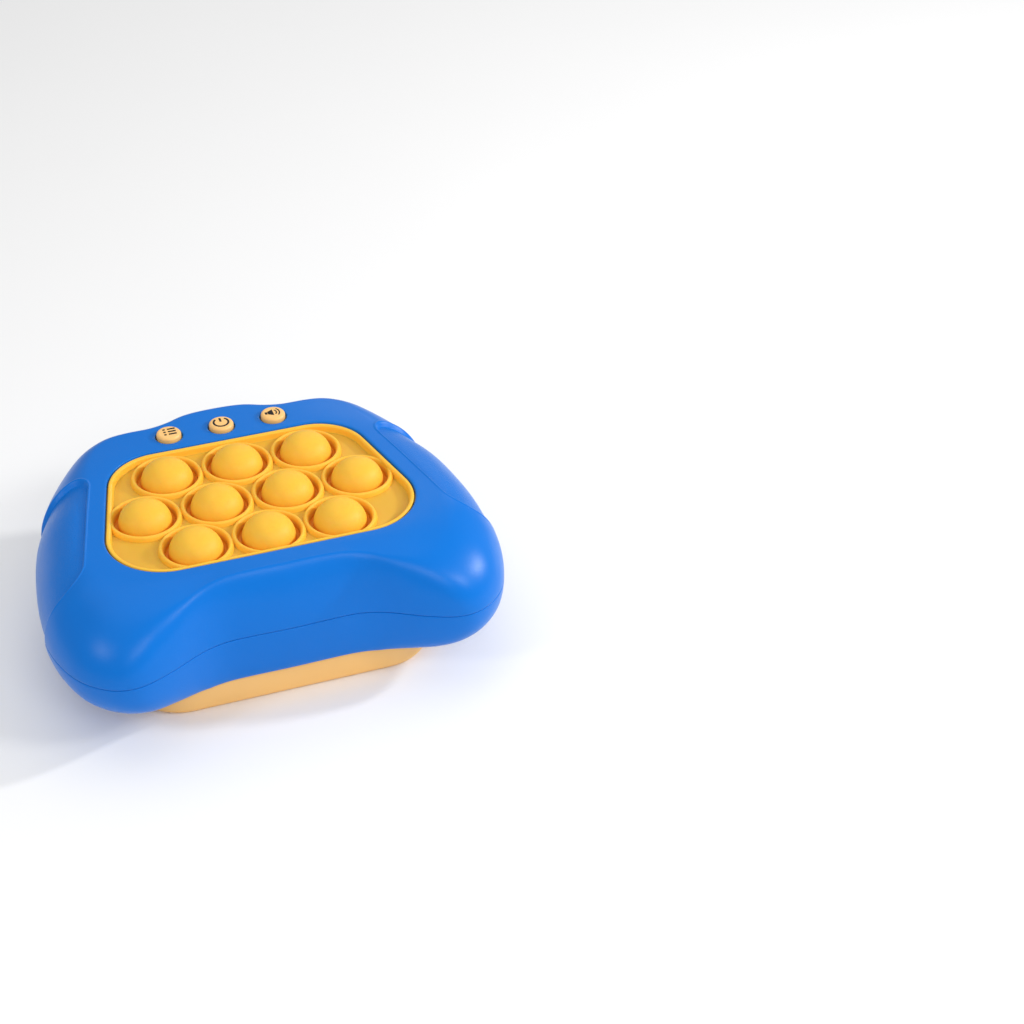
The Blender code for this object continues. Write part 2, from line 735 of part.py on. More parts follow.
def core_body(bm, front):
    """The space inside a shell, reaching half way into its wall and past the part line."""
    lines = [section(angle, front, WALL * CORE_SHARE) for angle in COLUMN_ANGLES]
    past = Z_PART - 2 * JOINT_DROP if front else Z_PART - GAP
    rings = [[(*polar(a, line[0][0]), past) for a, line in zip(COLUMN_ANGLES, lines)]]
    for k in range(1 if not front else 0, len(lines[0])):
        ring = [(*polar(a, line[k][0]), line[k][1]) for a, line in zip(COLUMN_ANGLES, lines)]
        rings.append(ring)
    add_rings(bm, rings)


# Screws: one shape in three lengths. The head is below and the tip points up.


def screw(name, place, seat, length, recess=0.0):
    """An upright screw with its head below its seat, and a socket in the head if it shows."""
    head = seat - SCREW_HEAD_HEIGHT
    profile = [
        (0.0, seat + length),
        (SCREW_RADIUS, seat + length - SCREW_RADIUS),
        (SCREW_RADIUS, seat),
        (SCREW_HEAD_RADIUS, seat),
        (SCREW_HEAD_RADIUS, head),
    ]
    if recess:
        profile += [(SCREW_RADIUS, head), (SCREW_RADIUS, head + recess)]
    profile.append((0.0, head + recess))
    return turned(name, profile, STEEL, place)


def case_screw_places():
    """Beside the reset plate's outline, in the case's walls."""
    return [
        polar(math.radians(a), reach(plate(), math.radians(a)) + BOSS_OFFSET)
        for a in CASE_SCREW_ANGLES
    ]


def ear_places():
    """Beside the window, outside the sheet's flange."""
    out = SHEET_FLANGE_WIDTH + EAR_OFFSET
    return [polar(math.radians(a), reach(window(), math.radians(a)) + out) for a in EAR_ANGLES]


def key_places():
    return [(side * KEY_SPACING, KEY_Y) for side in (-1, 0, 1)]


def key_stake_places():
    return [(side * KEY_SPACING / 2, KEY_Y) for side in (-1, 1)]


def board_screw_places():
    """In the middle of a triangle of bubbles, where the light frame is widest."""
    return [(sx * PITCH / 2, sy * ROW_SPACING * 2 / 3) for sx in (-1, 1) for sy in (-1, 1)]


def spring_places():
    return [(x * PITCH, y * PITCH) for x, y in SPRING_PLACE_SHARES]


def stake_places():
    return [(x * PITCH, y * PITCH) for x, y in STAKE_PLACE_SHARES]


PILOT = SCREW_RADIUS + GAP
Z_KEY_BOARD = (
    Z_CEILING
    - GAP
    - KEY_FLANGE_THICKNESS
    - KEY_STEM_LENGTH
    - KEY_TRAVEL
    - GAP
    - KEY_PLUNGER_HEIGHT
    - KEY_SWITCH_HEIGHT
)


# Front shell: window, key holes, bosses for the case, the light frame and the key board.


def front_shell():
    bm = bmesh.new()
    shell_body(bm, True)
    shell = finish(bm, "front_shell", BLUE)
    core = tool("front_core", lambda bm: core_body(bm, True))

    def bosses(bm):
        for place in case_screw_places():
            add_cylinder(bm, place, Z_JOINT, Z_TOP, BOSS_RADIUS)
        for place in ear_places():
            add_cylinder(bm, place, Z_FRAME + GAP, Z_TOP, BOSS_RADIUS)
        for place in key_stake_places():
            add_cylinder(bm, place, Z_KEY_BOARD + GAP, Z_TOP, STAKE_RADIUS + STAKE_PROUD)
            end = Z_KEY_BOARD - BOARD_THICKNESS - STAKE_PROUD
            add_cylinder(bm, place, end, Z_TOP, STAKE_RADIUS, PILOT_SIDES)

    def holes(bm):
        add_rings(
            bm, [at_height(window(), Z_CEILING - OVERRUN), at_height(window(), Z_TOP + OVERRUN)]
        )
        for place in key_places():
            add_cylinder(
                bm, place, Z_CEILING - OVERRUN, Z_TOP + OVERRUN, KEY_RADIUS + GAP, BORE_SIDES
            )
        depth = SCREW_LENGTH - SEAT_THICKNESS + OVERRUN
        for place in case_screw_places():
            add_cylinder(bm, place, Z_JOINT - OVERRUN, Z_JOINT + depth, PILOT, PILOT_SIDES)
        for place in ear_places():
            low = Z_FRAME + GAP - OVERRUN
            add_cylinder(bm, place, low, Z_CEILING + WALL / 3, PILOT, PILOT_SIDES)

    inside = tool("front_bosses", bosses)
    boolean(inside, core, "INTERSECT")
    boolean(shell, inside, "UNION")
    boolean(shell, tool("front_holes", holes), "DIFFERENCE")
    return shell


# Rear shell: ledge for the reset plate, screw wells, lip, speaker ring and sound slots.


def speaker_place():
    """Half way between the reset plate's flange and the back wall."""
    back = math.pi / 2
    wall = CENTRE_Y + outline_at(back)[0] - WALL
    flange = PLATE_BACK + PLATE_FLANGE_WIDTH
    return (0.0, (wall + flange) / 2)


def rear_shell():
    bm = bmesh.new()
    shell_body(bm, False)
    shell = finish(bm, "rear_shell", BLUE)
    core = tool("rear_core", lambda bm: core_body(bm, False))
    head = SCREW_HEAD_RADIUS + GAP

    def wells(bm):
        for place in case_screw_places():
            add_cylinder(bm, place, Z_FLOOR - OVERRUN, Z_JOINT - GAP, head + WELL_WALL)
        add_cylinder(
            bm,
            speaker_place(),
            Z_FLOOR,
            Z_LEDGE + SPEAKER_HEIGHT,
            SPEAKER_RADIUS + GAP + SPEAKER_WALL,
            BORE_SIDES,
        )

    def cuts(bm):
        opening = plate(PLATE_GAP)
        add_rings(
            bm,
            [at_height(opening, Z_FLOOR - OVERRUN), at_height(opening, Z_LEDGE + OVERRUN)],
        )
        seat = Z_JOINT - GAP - SEAT_THICKNESS
        for place in case_screw_places():
            add_cylinder(bm, place, Z_FLOOR - OVERRUN, seat, head)
        x, y = speaker_place()
        add_cylinder(bm, (x, y), Z_LEDGE, Z_PART, SPEAKER_RADIUS + GAP, BORE_SIDES)

    def small_cuts(bm):
        for place in case_screw_places():
            add_cylinder(bm, place, Z_FLOOR - OVERRUN, Z_PART, PILOT, PILOT_SIDES)
        x, y = speaker_place()
        for k in (-2, -1, 0, 1, 2):
            half = SLOT_LENGTH / 2 - abs(k) * SLOT_WIDTH / 2
            middle = x + k * SLOT_SPACING
            add_box(
                bm,
                (middle - SLOT_WIDTH / 2, y - half, Z_FLOOR - OVERRUN),
                (middle + SLOT_WIDTH / 2, y + half, Z_LEDGE + OVERRUN),
            )

    inside = tool("rear_wells", wells)
    boolean(inside, core, "INTERSECT")
    boolean(shell, inside, "UNION")
    boolean(shell, tool("rear_cuts", cuts), "DIFFERENCE")
    boolean(shell, tool("rear_small_cuts", small_cuts), "DIFFERENCE")
    return shell


# Bubble sheet: a silicone tray with a flange, a lip in the window and a ring round each hole.


def bubble_sheet():
    bm = bmesh.new()
    inner = window(-SHEET_GAP - SHEET_LIP_WIDTH)
    outer = window(-SHEET_GAP)
    flange = window(SHEET_FLANGE_WIDTH)
    top = Z_CEILING - GAP
    add_rings(
        bm,
        [
            at_height(inner, Z_SHEET),
            at_height(inner, Z_RING),
            at_height(outer, Z_RING),
            at_height(outer, top),
            at_height(flange, top),
            at_height(flange, Z_SHEET_UNDER),
        ],
    )
    sheet = finish(bm, "bubble_sheet", YELLOW)
    low = Z_SHEET - SHEET_THICKNESS / 2
    profile = (
        (RING_INNER_RADIUS, Z_RING),
        (RING_OUTER_RADIUS - RING_DRAFT, Z_RING),
        (RING_OUTER_RADIUS, low),
        (RING_INNER_RADIUS, low),
        (RING_INNER_RADIUS, Z_RING),
    )
    for number, place in enumerate(BUBBLES, 1):
        ring = turned(f"ring_{number:02d}", profile, None, place, RING_SIDES, hidden=True)
        boolean(sheet, ring, "UNION")

    def holes(bm):
        for place in BUBBLES:
            add_cylinder(
                bm,
                place,
                Z_SHEET_UNDER - OVERRUN,
                Z_RING + OVERRUN,
                BUBBLE_RADIUS + GAP,
                RING_SIDES,
            )

    boolean(sheet, tool("sheet_holes", holes), "DIFFERENCE")
    return sheet


def cap_arc(radius, centre, rim, steps):
    """Points of a round cap's outer side, from the crown down to its rim radius."""
    last = math.asin(rim / radius)
    return [
        (radius * math.sin(last * k / steps), centre + radius * math.cos(last * k / steps))
        for k in range(steps + 1)
    ]


def bubble(number, place):
    """One pop bubble: a dome with an even wall and a short skirt."""
    centre = Z_BUBBLE - DOME_RADIUS
    inner_rim = BUBBLE_RADIUS - BUBBLE_WALL
    inner = DOME_RADIUS - BUBBLE_WALL
    profile = cap_arc(DOME_RADIUS, centre, BUBBLE_RADIUS, BUBBLE_ARC_STEPS)
    profile.append((BUBBLE_RADIUS, Z_SHEET_UNDER))
    profile.append((inner_rim, Z_SHEET_UNDER))
    profile += cap_arc(inner, centre, inner_rim, BUBBLE_INNER_STEPS)[-2::-1]
    return turned(f"bubble_{number:02d}", profile, YELLOW, place, RING_SIDES)


# Keys: a round cap, a flange that holds it under the shell, and a stem.


def key(name, place):
    top = Z_TOP + KEY_PROUD
    flange = Z_CEILING - GAP
    profile = (
        (0.0, top),
        (KEY_RADIUS - KEY_ROUND, top),
        (KEY_RADIUS, top - KEY_ROUND),
        (KEY_RADIUS, flange),
        (KEY_RADIUS + KEY_FLANGE_WIDTH, flange),
        (KEY_RADIUS + KEY_FLANGE_WIDTH, flange - KEY_FLANGE_THICKNESS),
        (KEY_STEM_RADIUS, flange - KEY_FLANGE_THICKNESS),
        (KEY_STEM_RADIUS, flange - KEY_FLANGE_THICKNESS - KEY_STEM_LENGTH),
        (0.0, flange - KEY_FLANGE_THICKNESS - KEY_STEM_LENGTH),
    )
    return turned(name, profile, PEACH, place, BORE_SIDES)


def key_board():
    bm = bmesh.new()
    low = Z_KEY_BOARD - BOARD_THICKNESS
    half = KEY_BOARD_WIDTH / 2
    front = KEY_Y - KEY_BOARD_DEPTH / 2
    add_box(bm, (-half, front, low), (half, front + KEY_BOARD_DEPTH, Z_KEY_BOARD))
    board = finish(bm, "key_board", GREEN)

    def bodies(bm):
        side = KEY_SWITCH_SIDE / 2
        for x, y in key_places():
            add_box(
                bm,
                (x - side, y - side, Z_KEY_BOARD - BOARD_THICKNESS / 2),
                (x + side, y + side, Z_KEY_BOARD + KEY_SWITCH_HEIGHT),
            )

    def plungers(bm):
        low = Z_KEY_BOARD + KEY_SWITCH_HEIGHT
        for place in key_places():
            add_cylinder(
                bm, place, low - KEY_PLUNGER_HEIGHT, low + KEY_PLUNGER_HEIGHT, KEY_PLUNGER_RADIUS
            )

    def holes(bm):
        for place in key_stake_places():
            high = Z_KEY_BOARD + OVERRUN
            add_cylinder(bm, place, low - OVERRUN, high, STAKE_RADIUS + GAP, PILOT_SIDES)

    boolean(board, tool("key_switch_bodies", bodies), "UNION")
    boolean(board, tool("key_switch_plungers", plungers), "UNION")
    boolean(board, tool("key_board_holes", holes), "DIFFERENCE")
    return board


# Light frame: clamps the sheet's flange, has a light well under each bubble, and carries the
# circuit board on pillars. Its longest pillars guide the springs and stop the reset plate.


def light_frame():
    bm = bmesh.new()
    outline = window(SHEET_FLANGE_WIDTH)
    add_rings(bm, [at_height(outline, Z_FRAME_UNDER), at_height(outline, Z_FRAME)])
    frame = finish(bm, "light_frame", WHITE)
    stop = Z_PUSHER + PLATE_TRAVEL + GAP
    inside = Z_FRAME_UNDER + FRAME_THICKNESS / 2

    def pillars(bm):
        for x, y in ear_places():
            add_cylinder(bm, (x, y), Z_FRAME - EAR_THICKNESS, Z_FRAME, EAR_RADIUS)
            root = x - math.copysign(EAR_OFFSET + SHEET_FLANGE_WIDTH + EAR_RADIUS, x)
            add_box(
                bm,
                (min(x, root), y - EAR_RADIUS, Z_FRAME - EAR_THICKNESS),
                (max(x, root), y + EAR_RADIUS, Z_FRAME),
            )
        for place in board_screw_places():
            add_cylinder(bm, place, Z_BOARD + GAP, inside, BOARD_PILLAR_RADIUS)
        for place in spring_places():
            add_cylinder(bm, place, stop, inside, STOP_PILLAR_RADIUS)

    def wells(bm):
        for place in BUBBLES:
            add_cylinder(
                bm, place, Z_FRAME_UNDER - OVERRUN, Z_FRAME + OVERRUN, WELL_RADIUS, BORE_SIDES
            )
        for place in ear_places():
            add_cylinder(
                bm, place, Z_FRAME_UNDER - OVERRUN, Z_FRAME + OVERRUN, PILOT, PILOT_SIDES
            )
        depth = BOARD_SCREW_LENGTH - BOARD_THICKNESS + GAP
        for place in board_screw_places():
            add_cylinder(bm, place, Z_BOARD - OVERRUN, Z_BOARD + GAP + depth, PILOT, PILOT_SIDES)

    boolean(frame, tool("frame_pillars", pillars), "UNION")
    boolean(frame, tool("frame_wells", wells), "DIFFERENCE")
    return frame


# Main circuit board, with a switch and a lamp under each bubble.


def circuit_board():
    bm = bmesh.new()
    outline = window(-GAP)
    add_rings(bm, [at_height(outline, Z_BOARD_UNDER), at_height(outline, Z_BOARD)])
    board = finish(bm, "circuit_board", GREEN)

    def holes(bm):
        low, high = Z_BOARD_UNDER - OVERRUN, Z_BOARD + OVERRUN
        for x, y in BUBBLES:
            for side in (-1, 1):
                place = (x + side * FINGER_OFFSET, y)
                add_post(bm, place, low, high, FINGER_SIDE + 2 * FINGER_SPACE)
        for place in spring_places():
            add_cylinder(bm, place, low, high, STOP_PILLAR_RADIUS + GAP)
        for place in board_screw_places():
            add_cylinder(bm, place, low, high, PILOT, PILOT_SIDES)

    def bodies(bm):
        low = Z_BOARD - BOARD_THICKNESS / 2
        side = SWITCH_SIDE / 2
        for x, y in BUBBLES:
            add_box(bm, (x - side, y - side, low), (x + side, y + side, Z_BOARD + SWITCH_HEIGHT))
            add_box(
                bm,
                (x - LED_LENGTH / 2, y + LED_OFFSET - LED_WIDTH / 2, low),
                (x + LED_LENGTH / 2, y + LED_OFFSET + LED_WIDTH / 2, Z_BOARD + LED_HEIGHT),
            )

    def stems(bm):
        crown = Z_BUBBLE - BUBBLE_WALL - BUBBLE_TRAVEL - STEM_CLEARANCE
        for place in BUBBLES:
            low = Z_BOARD + SWITCH_HEIGHT / 2
            add_post(bm, place, low, crown, SWITCH_STEM_SIDE)

    boolean(board, tool("board_holes", holes), "DIFFERENCE")
    boolean(board, tool("board_bodies", bodies), "UNION")
    boolean(board, tool("board_stems", stems), "UNION")
    return board


# Reset plate: a drafted tray with a flange over the rear shell's ledge, the battery
# compartment in its middle and bosses for the pusher frame.


def reset_plate():
    bm = bmesh.new()
    outer = plate()
    bottom = plate(-PLATE_DRAFT)
    edge = plate(-PLATE_DRAFT - PLATE_EDGE)
    inner = plate(-PLATE_WALL)
    inner_floor = plate(-PLATE_DRAFT - PLATE_WALL)
    add_rings(
        bm,
        [
            at_height(inner_floor, PLATE_WALL),
            at_height(inner, Z_FLOOR),
            at_height(inner, Z_PLATE_TOP),
            at_height(outer, Z_PLATE_TOP),
            at_height(outer, Z_FLOOR),
            at_height(bottom, PLATE_EDGE),
            at_height(edge, 0.0),
        ],
    )
    tray = finish(bm, "reset_plate", PEACH)

    def flange(bm):
        # On the sides and the back only, because the case's front wall stands close.
        out, into = plate(PLATE_FLANGE_WIDTH), plate(-PLATE_WALL / 2)
        top = Z_PLATE_FLANGE + PLATE_FLANGE_THICKNESS
        add_band(
            bm,
            [
                at_height(into, Z_PLATE_FLANGE),
                at_height(out, Z_PLATE_FLANGE),
                at_height(out, top),
                at_height(into, top),
            ],
        )

    def front_strip(bm):
        back = -PLATE_FRONT + PLATE_FLANGE_SETBACK
        half = PLATE_FRONT_WIDTH / 2 + OVERRUN + PLATE_FLANGE_WIDTH
        add_box(
            bm,
            (-half, -PLATE_FRONT - PLATE_FLANGE_WIDTH - OVERRUN, Z_FLOOR),
            (half, back, Z_PLATE_TOP),
        )

    def compartment(bm):
        low = PLATE_WALL / 2
        add_box(
            bm,
            (DOOR_LEFT - BOX_WALL, -DOOR_HALF_DEPTH - BOX_WALL, low),
            (DOOR_RIGHT + BOX_WALL, DOOR_HALF_DEPTH + BOX_WALL, Z_BOX_TOP + BOX_WALL),
        )
        for place in stake_places():
            add_cylinder(bm, place, low, Z_PUSHER_UNDER - GAP, PUSHER_BOSS_RADIUS)
            add_cylinder(bm, place, low, Z_PUSHER + STAKE_PROUD, STAKE_RADIUS, PILOT_SIDES)

    def room(bm):
        add_box(
            bm,
            (-BOX_HALF_LENGTH, -BOX_HALF_DEPTH, Z_BOX / 2),
            (BOX_HALF_LENGTH, BOX_HALF_DEPTH, Z_BOX_TOP),
        )

    def door_opening(bm):
        add_box(
            bm,
            (DOOR_LEFT - GAP, -DOOR_HALF_DEPTH - GAP, -OVERRUN),
            (DOOR_RIGHT + GAP, DOOR_HALF_DEPTH + GAP, Z_BOX),
        )

    def door_pilot(bm):
        add_cylinder(bm, DOOR_SCREW_PLACE, Z_BOX - GAP, Z_CELL + CELL_RADIUS / 2, PILOT, PILOT_SIDES)

    band = tool("plate_flange", flange)
    boolean(band, tool("plate_front_strip", front_strip), "DIFFERENCE")
    boolean(tray, band, "UNION")
    boolean(tray, tool("compartment", compartment), "UNION")
    boolean(tray, tool("compartment_room", room), "DIFFERENCE")
    boolean(tray, tool("door_opening", door_opening), "DIFFERENCE")
    boolean(tray, tool("door_pilot", door_pilot), "DIFFERENCE")
    return tray


def battery_door():
    """A flat door with a sunk seat for its screw and a finger notch."""
    bm = bmesh.new()
    add_box(bm, (DOOR_LEFT, -DOOR_HALF_DEPTH, 0.0), (DOOR_RIGHT, DOOR_HALF_DEPTH, DOOR_THICKNESS))
    door = finish(bm, "battery_door", PEACH)

    def cuts(bm):
        add_cylinder(bm, DOOR_SCREW_PLACE, -OVERRUN, PLATE_WALL + OVERRUN, PILOT, PILOT_SIDES)

    def head_room(bm):
        add_cylinder(bm, DOOR_SCREW_PLACE, -OVERRUN, DOOR_SEAT, SCREW_HEAD_RADIUS + GAP)

    boolean(door, tool("door_cuts", cuts), "DIFFERENCE")
    boolean(door, tool("door_head_room", head_room), "DIFFERENCE")
    return door


def battery_cell(number):
    """An AAA cell on its side, with its nub to one end and each neighbour the other way."""
    profile = (
        (0.0, CELL_LENGTH / 2 + CELL_NUB_LENGTH),
        (CELL_NUB_RADIUS, CELL_LENGTH / 2 + CELL_NUB_LENGTH),
        (CELL_NUB_RADIUS, CELL_LENGTH / 2),
        (CELL_RADIUS, CELL_LENGTH / 2),
        (CELL_RADIUS, -CELL_LENGTH / 2),
        (0.0, -CELL_LENGTH / 2),
    )
    cell = turned(f"battery_cell_{number}", profile, CELL, sides=BORE_SIDES)
    row = number - 2
    cell.rotation_euler = (0.0, cell_way(row) * math.pi / 2, 0.0)
    cell.location = (0.0, row * CELL_SPACING, Z_CELL)
    return cell


def cell_way(row):
    """Which way the nub of the cell in this row points: neighbours lie opposite ways."""
    return -1 if row == 0 else 1


def battery_contact(name, side):
    """A strip at one end of the cells, with a tongue that springs against each of them."""
    bm = bmesh.new()
    wall = side * (BOX_HALF_LENGTH - GAP)
    face = wall - side * CONTACT_THICKNESS
    depth = BOX_HALF_DEPTH - GAP
    half = CONTACT_HEIGHT / 2
    add_box(
        bm,
        (min(wall, face), -depth, Z_CELL - half),
        (max(wall, face), depth, Z_CELL + half),
    )
    strip = finish(bm, name, STEEL)

    def tongues(bm):
        for row in (-1, 0, 1):
            nub = CELL_NUB_LENGTH if cell_way(row) == side else 0.0
            tip = side * (CELL_LENGTH / 2 + nub + GAP)
            y = row * CELL_SPACING
            root = face + side * CONTACT_THICKNESS / 2
            sizes = ((root, TONGUE_HEIGHT / 2), (tip, TONGUE_TIP_HEIGHT / 2))
            add_rings(
                bm,
                [
                    [
                        (x, y - size, Z_CELL - size),
                        (x, y + size, Z_CELL - size),
                        (x, y + size, Z_CELL + size),
                        (x, y - size, Z_CELL + size),
                    ]
                    for x, size in sizes
                ],
            )

    boolean(strip, tool(f"{name}_tongues", tongues), "UNION")
    return strip


# Pusher frame: a plate on the reset plate with two fingers under each bubble.


def finger_tip():
    """Just under the pressed dome's inner side, over the finger's outer edge."""
    across = FINGER_OFFSET + FINGER_TIP_SIDE / 2
    inner = DOME_RADIUS - BUBBLE_WALL
    centre = Z_BUBBLE - DOME_RADIUS - BUBBLE_TRAVEL
    return centre + math.sqrt(inner**2 - across**2) - FINGER_CLEARANCE


def pusher_frame():
    bm = bmesh.new()
    outline = plate(-PLATE_WALL - PUSHER_GAP)
    add_rings(bm, [at_height(outline, Z_PUSHER_UNDER), at_height(outline, Z_PUSHER)])
    frame = finish(bm, "pusher_frame", WHITE)

    def fingers(bm):
        for x, y in BUBBLES:
            for side in (-1, 1):
                place = (x + side * FINGER_OFFSET, y)
                low = Z_PUSHER - PUSHER_THICKNESS / 2
                add_post(bm, place, low, finger_tip(), FINGER_SIDE, FINGER_TIP_SIDE)

    def holes(bm):
        low, high = Z_PUSHER_UNDER - OVERRUN, Z_PUSHER + OVERRUN
        for place in stake_places():
            add_cylinder(bm, place, low, high, STAKE_RADIUS + GAP, PILOT_SIDES)

    boolean(frame, tool("pusher_fingers", fingers), "UNION")
    boolean(frame, tool("pusher_holes", holes), "DIFFERENCE")
    return frame


def return_spring(number, place):
    """An open coil between the pusher frame and the circuit board."""
    low = Z_PUSHER + GAP + SPRING_WIRE / 2
    high = Z_BOARD_UNDER - GAP - SPRING_WIRE / 2
    count = SPRING_TURNS * SPRING_TURN_POINTS
    curve = bpy.data.curves.new(f"return_spring_{number}", "CURVE")
    curve.dimensions = "3D"
    curve.bevel_depth = SPRING_WIRE / 2
    curve.bevel_resolution = 0
    curve.use_fill_caps = True
    line = curve.splines.new("POLY")
    line.points.add(count)
    for k, point in enumerate(line.points):
        turn = 2 * math.pi * k / SPRING_TURN_POINTS
        x = place[0] + SPRING_RADIUS * math.cos(turn)
        y = place[1] + SPRING_RADIUS * math.sin(turn)
        point.co = (x, y, low + (high - low) * k / count, 1.0)
    spring = bpy.data.objects.new(curve.name, curve)
    curve.materials.append(STEEL)
    PARTS.objects.link(spring)
    return spring


def speaker():
    """A small round speaker, cone down over the slots, magnet up."""
    low = Z_LEDGE + GAP
    rim = low + SPEAKER_HEIGHT / 2
    profile = (
        (0.0, low + SPEAKER_HEIGHT + SPEAKER_MAGNET_HEIGHT),
        (SPEAKER_MAGNET_RADIUS, low + SPEAKER_HEIGHT + SPEAKER_MAGNET_HEIGHT),
        (SPEAKER_MAGNET_RADIUS, low + SPEAKER_HEIGHT),
        (SPEAKER_RADIUS, rim),
        (SPEAKER_RADIUS, low),
        (SPEAKER_RADIUS * CONE_RIM_SHARE, low),
        (SPEAKER_MAGNET_RADIUS, low + SPEAKER_HEIGHT / 3),
        (0.0, low + SPEAKER_HEIGHT / 4),
    )
    return turned("speaker", profile, CONE, speaker_place(), BORE_SIDES)


def all_screws():
    for number, place in enumerate(case_screw_places(), 1):
        seat = Z_JOINT - GAP - SEAT_THICKNESS - GAP
        screw(f"case_screw_{number}", place, seat, SCREW_LENGTH, SOCKET_DEPTH)
    for number, place in enumerate(ear_places(), 1):
        seat = Z_FRAME - EAR_THICKNESS - GAP
        screw(f"frame_screw_{number}", place, seat, BOARD_SCREW_LENGTH)
    for number, place in enumerate(board_screw_places(), 1):
        screw(f"board_screw_{number}", place, Z_BOARD_UNDER - GAP, BOARD_SCREW_LENGTH)
    seat = DOOR_SEAT - GAP
    screw("door_screw", DOOR_SCREW_PLACE, seat, BOARD_SCREW_LENGTH, SOCKET_DEPTH)


def build():
    front_shell()
    rear_shell()
    bubble_sheet()
    for number, place in enumerate(BUBBLES, 1):
        bubble(number, place)
    for name, place in zip(("key_menu", "key_power", "key_sound"), key_places()):
        key(name, place)
    key_board()
    light_frame()
    circuit_board()
    reset_plate()
    pusher_frame()
    for number, place in enumerate(spring_places(), 1):
        return_spring(number, place)
    battery_door()
    for number in (1, 2, 3):
        battery_cell(number)
    battery_contact("battery_contact_left", -1)
    battery_contact("battery_contact_right", 1)
    speaker()
    all_screws()


build()
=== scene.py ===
"""Looks of the electronic bubble pop game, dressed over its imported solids.

The sections follow the toy as it is put together on the bench: the rear shell first, then what
goes into it, the silicone sheet and its bubbles, the keys, the front shell and the screws.
"""

import math

import bmesh
import bpy
import numpy as np
from mathutils import Matrix, Vector


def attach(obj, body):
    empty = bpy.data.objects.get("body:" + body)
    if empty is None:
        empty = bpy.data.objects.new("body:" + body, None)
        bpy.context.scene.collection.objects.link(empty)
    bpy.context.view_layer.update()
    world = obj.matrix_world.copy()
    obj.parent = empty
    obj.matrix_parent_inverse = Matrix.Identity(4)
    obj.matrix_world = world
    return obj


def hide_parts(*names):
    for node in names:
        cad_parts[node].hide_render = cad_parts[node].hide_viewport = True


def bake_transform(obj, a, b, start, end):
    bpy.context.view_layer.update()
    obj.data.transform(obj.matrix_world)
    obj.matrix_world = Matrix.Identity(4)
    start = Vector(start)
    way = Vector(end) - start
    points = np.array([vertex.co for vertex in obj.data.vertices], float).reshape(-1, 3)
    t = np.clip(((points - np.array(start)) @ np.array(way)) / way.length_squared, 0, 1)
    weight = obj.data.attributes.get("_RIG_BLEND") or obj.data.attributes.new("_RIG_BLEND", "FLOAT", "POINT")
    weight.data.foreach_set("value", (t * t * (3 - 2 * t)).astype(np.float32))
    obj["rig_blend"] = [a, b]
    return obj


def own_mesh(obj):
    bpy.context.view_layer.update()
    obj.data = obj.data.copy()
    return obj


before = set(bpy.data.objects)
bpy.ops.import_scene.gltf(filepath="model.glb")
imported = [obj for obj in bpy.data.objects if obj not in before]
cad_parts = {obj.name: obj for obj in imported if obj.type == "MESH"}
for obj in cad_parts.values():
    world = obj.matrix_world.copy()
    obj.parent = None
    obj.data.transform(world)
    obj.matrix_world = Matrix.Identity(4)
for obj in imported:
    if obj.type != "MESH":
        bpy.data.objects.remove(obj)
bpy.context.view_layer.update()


# Rear shell: the lower half of the case, moulded in blue ABS with a fine spark-eroded grain.
# It has the part line's lip, a ledge that keeps the reset plate in, four screw wells and the
# sound slots. Each side sinks by 1 to 1.8 mm under the palm, and is pebbled there.
MM = 0.001
PITCH = 26.0 * MM
ROW_SPACING = PITCH * math.sin(math.radians(60))
RING_OUTER = 13.2 * MM
WINDOW_DEPTH = 2 * (ROW_SPACING + RING_OUTER + 0.48 * MM)
WINDOW_BACK_WIDTH = 2 * (PITCH + RING_OUTER + 5.4 * MM)
WINDOW_FRONT_WIDTH = 3 * PITCH + 2 * (RING_OUTER + 9.0 * MM)
CORNER = 20.0 * MM
FRONT_CORNER = 21.8 * MM
KEY_Y = WINDOW_DEPTH / 2 + 9.4 * MM
CASE_WIDTH = 165.24 * MM
CASE_DEPTH = 2 * (KEY_Y + 19.2 * MM)
CENTRE_Y = -0.077 * CASE_DEPTH / 2
REAR_HEIGHT = 19.0 * MM
FRONT_HEIGHT = 23.3 * MM
WALL = 2.2 * MM
GAP = 0.3 * MM
TOP_ROLL = 22.0 * MM
UNDER_ROLL = 21.0 * MM
FLAT_RIM = 3.2 * MM
GRIP_DEPTH = 1.0 * MM
GRIP_STEP = 0.7 * MM
BEAD_HEIGHT = 0.17 * MM
BEAD_WIDTH = 0.34 * MM
BEAD_REACH = 81.9 * MM
PART_LINE = 0.09 * MM
Z_FLOOR = 13.5 * MM
Z_PART = Z_FLOOR + REAR_HEIGHT
Z_TOP = Z_PART + FRONT_HEIGHT
PLATE_BACK = WINDOW_DEPTH / 2 + 3.3 * MM
PLATE_FRONT = WINDOW_DEPTH / 2 + 11.0 * MM
PLATE_BACK_WIDTH = WINDOW_BACK_WIDTH + 1.8 * MM
PLATE_FRONT_WIDTH = WINDOW_FRONT_WIDTH - 3.4 * MM

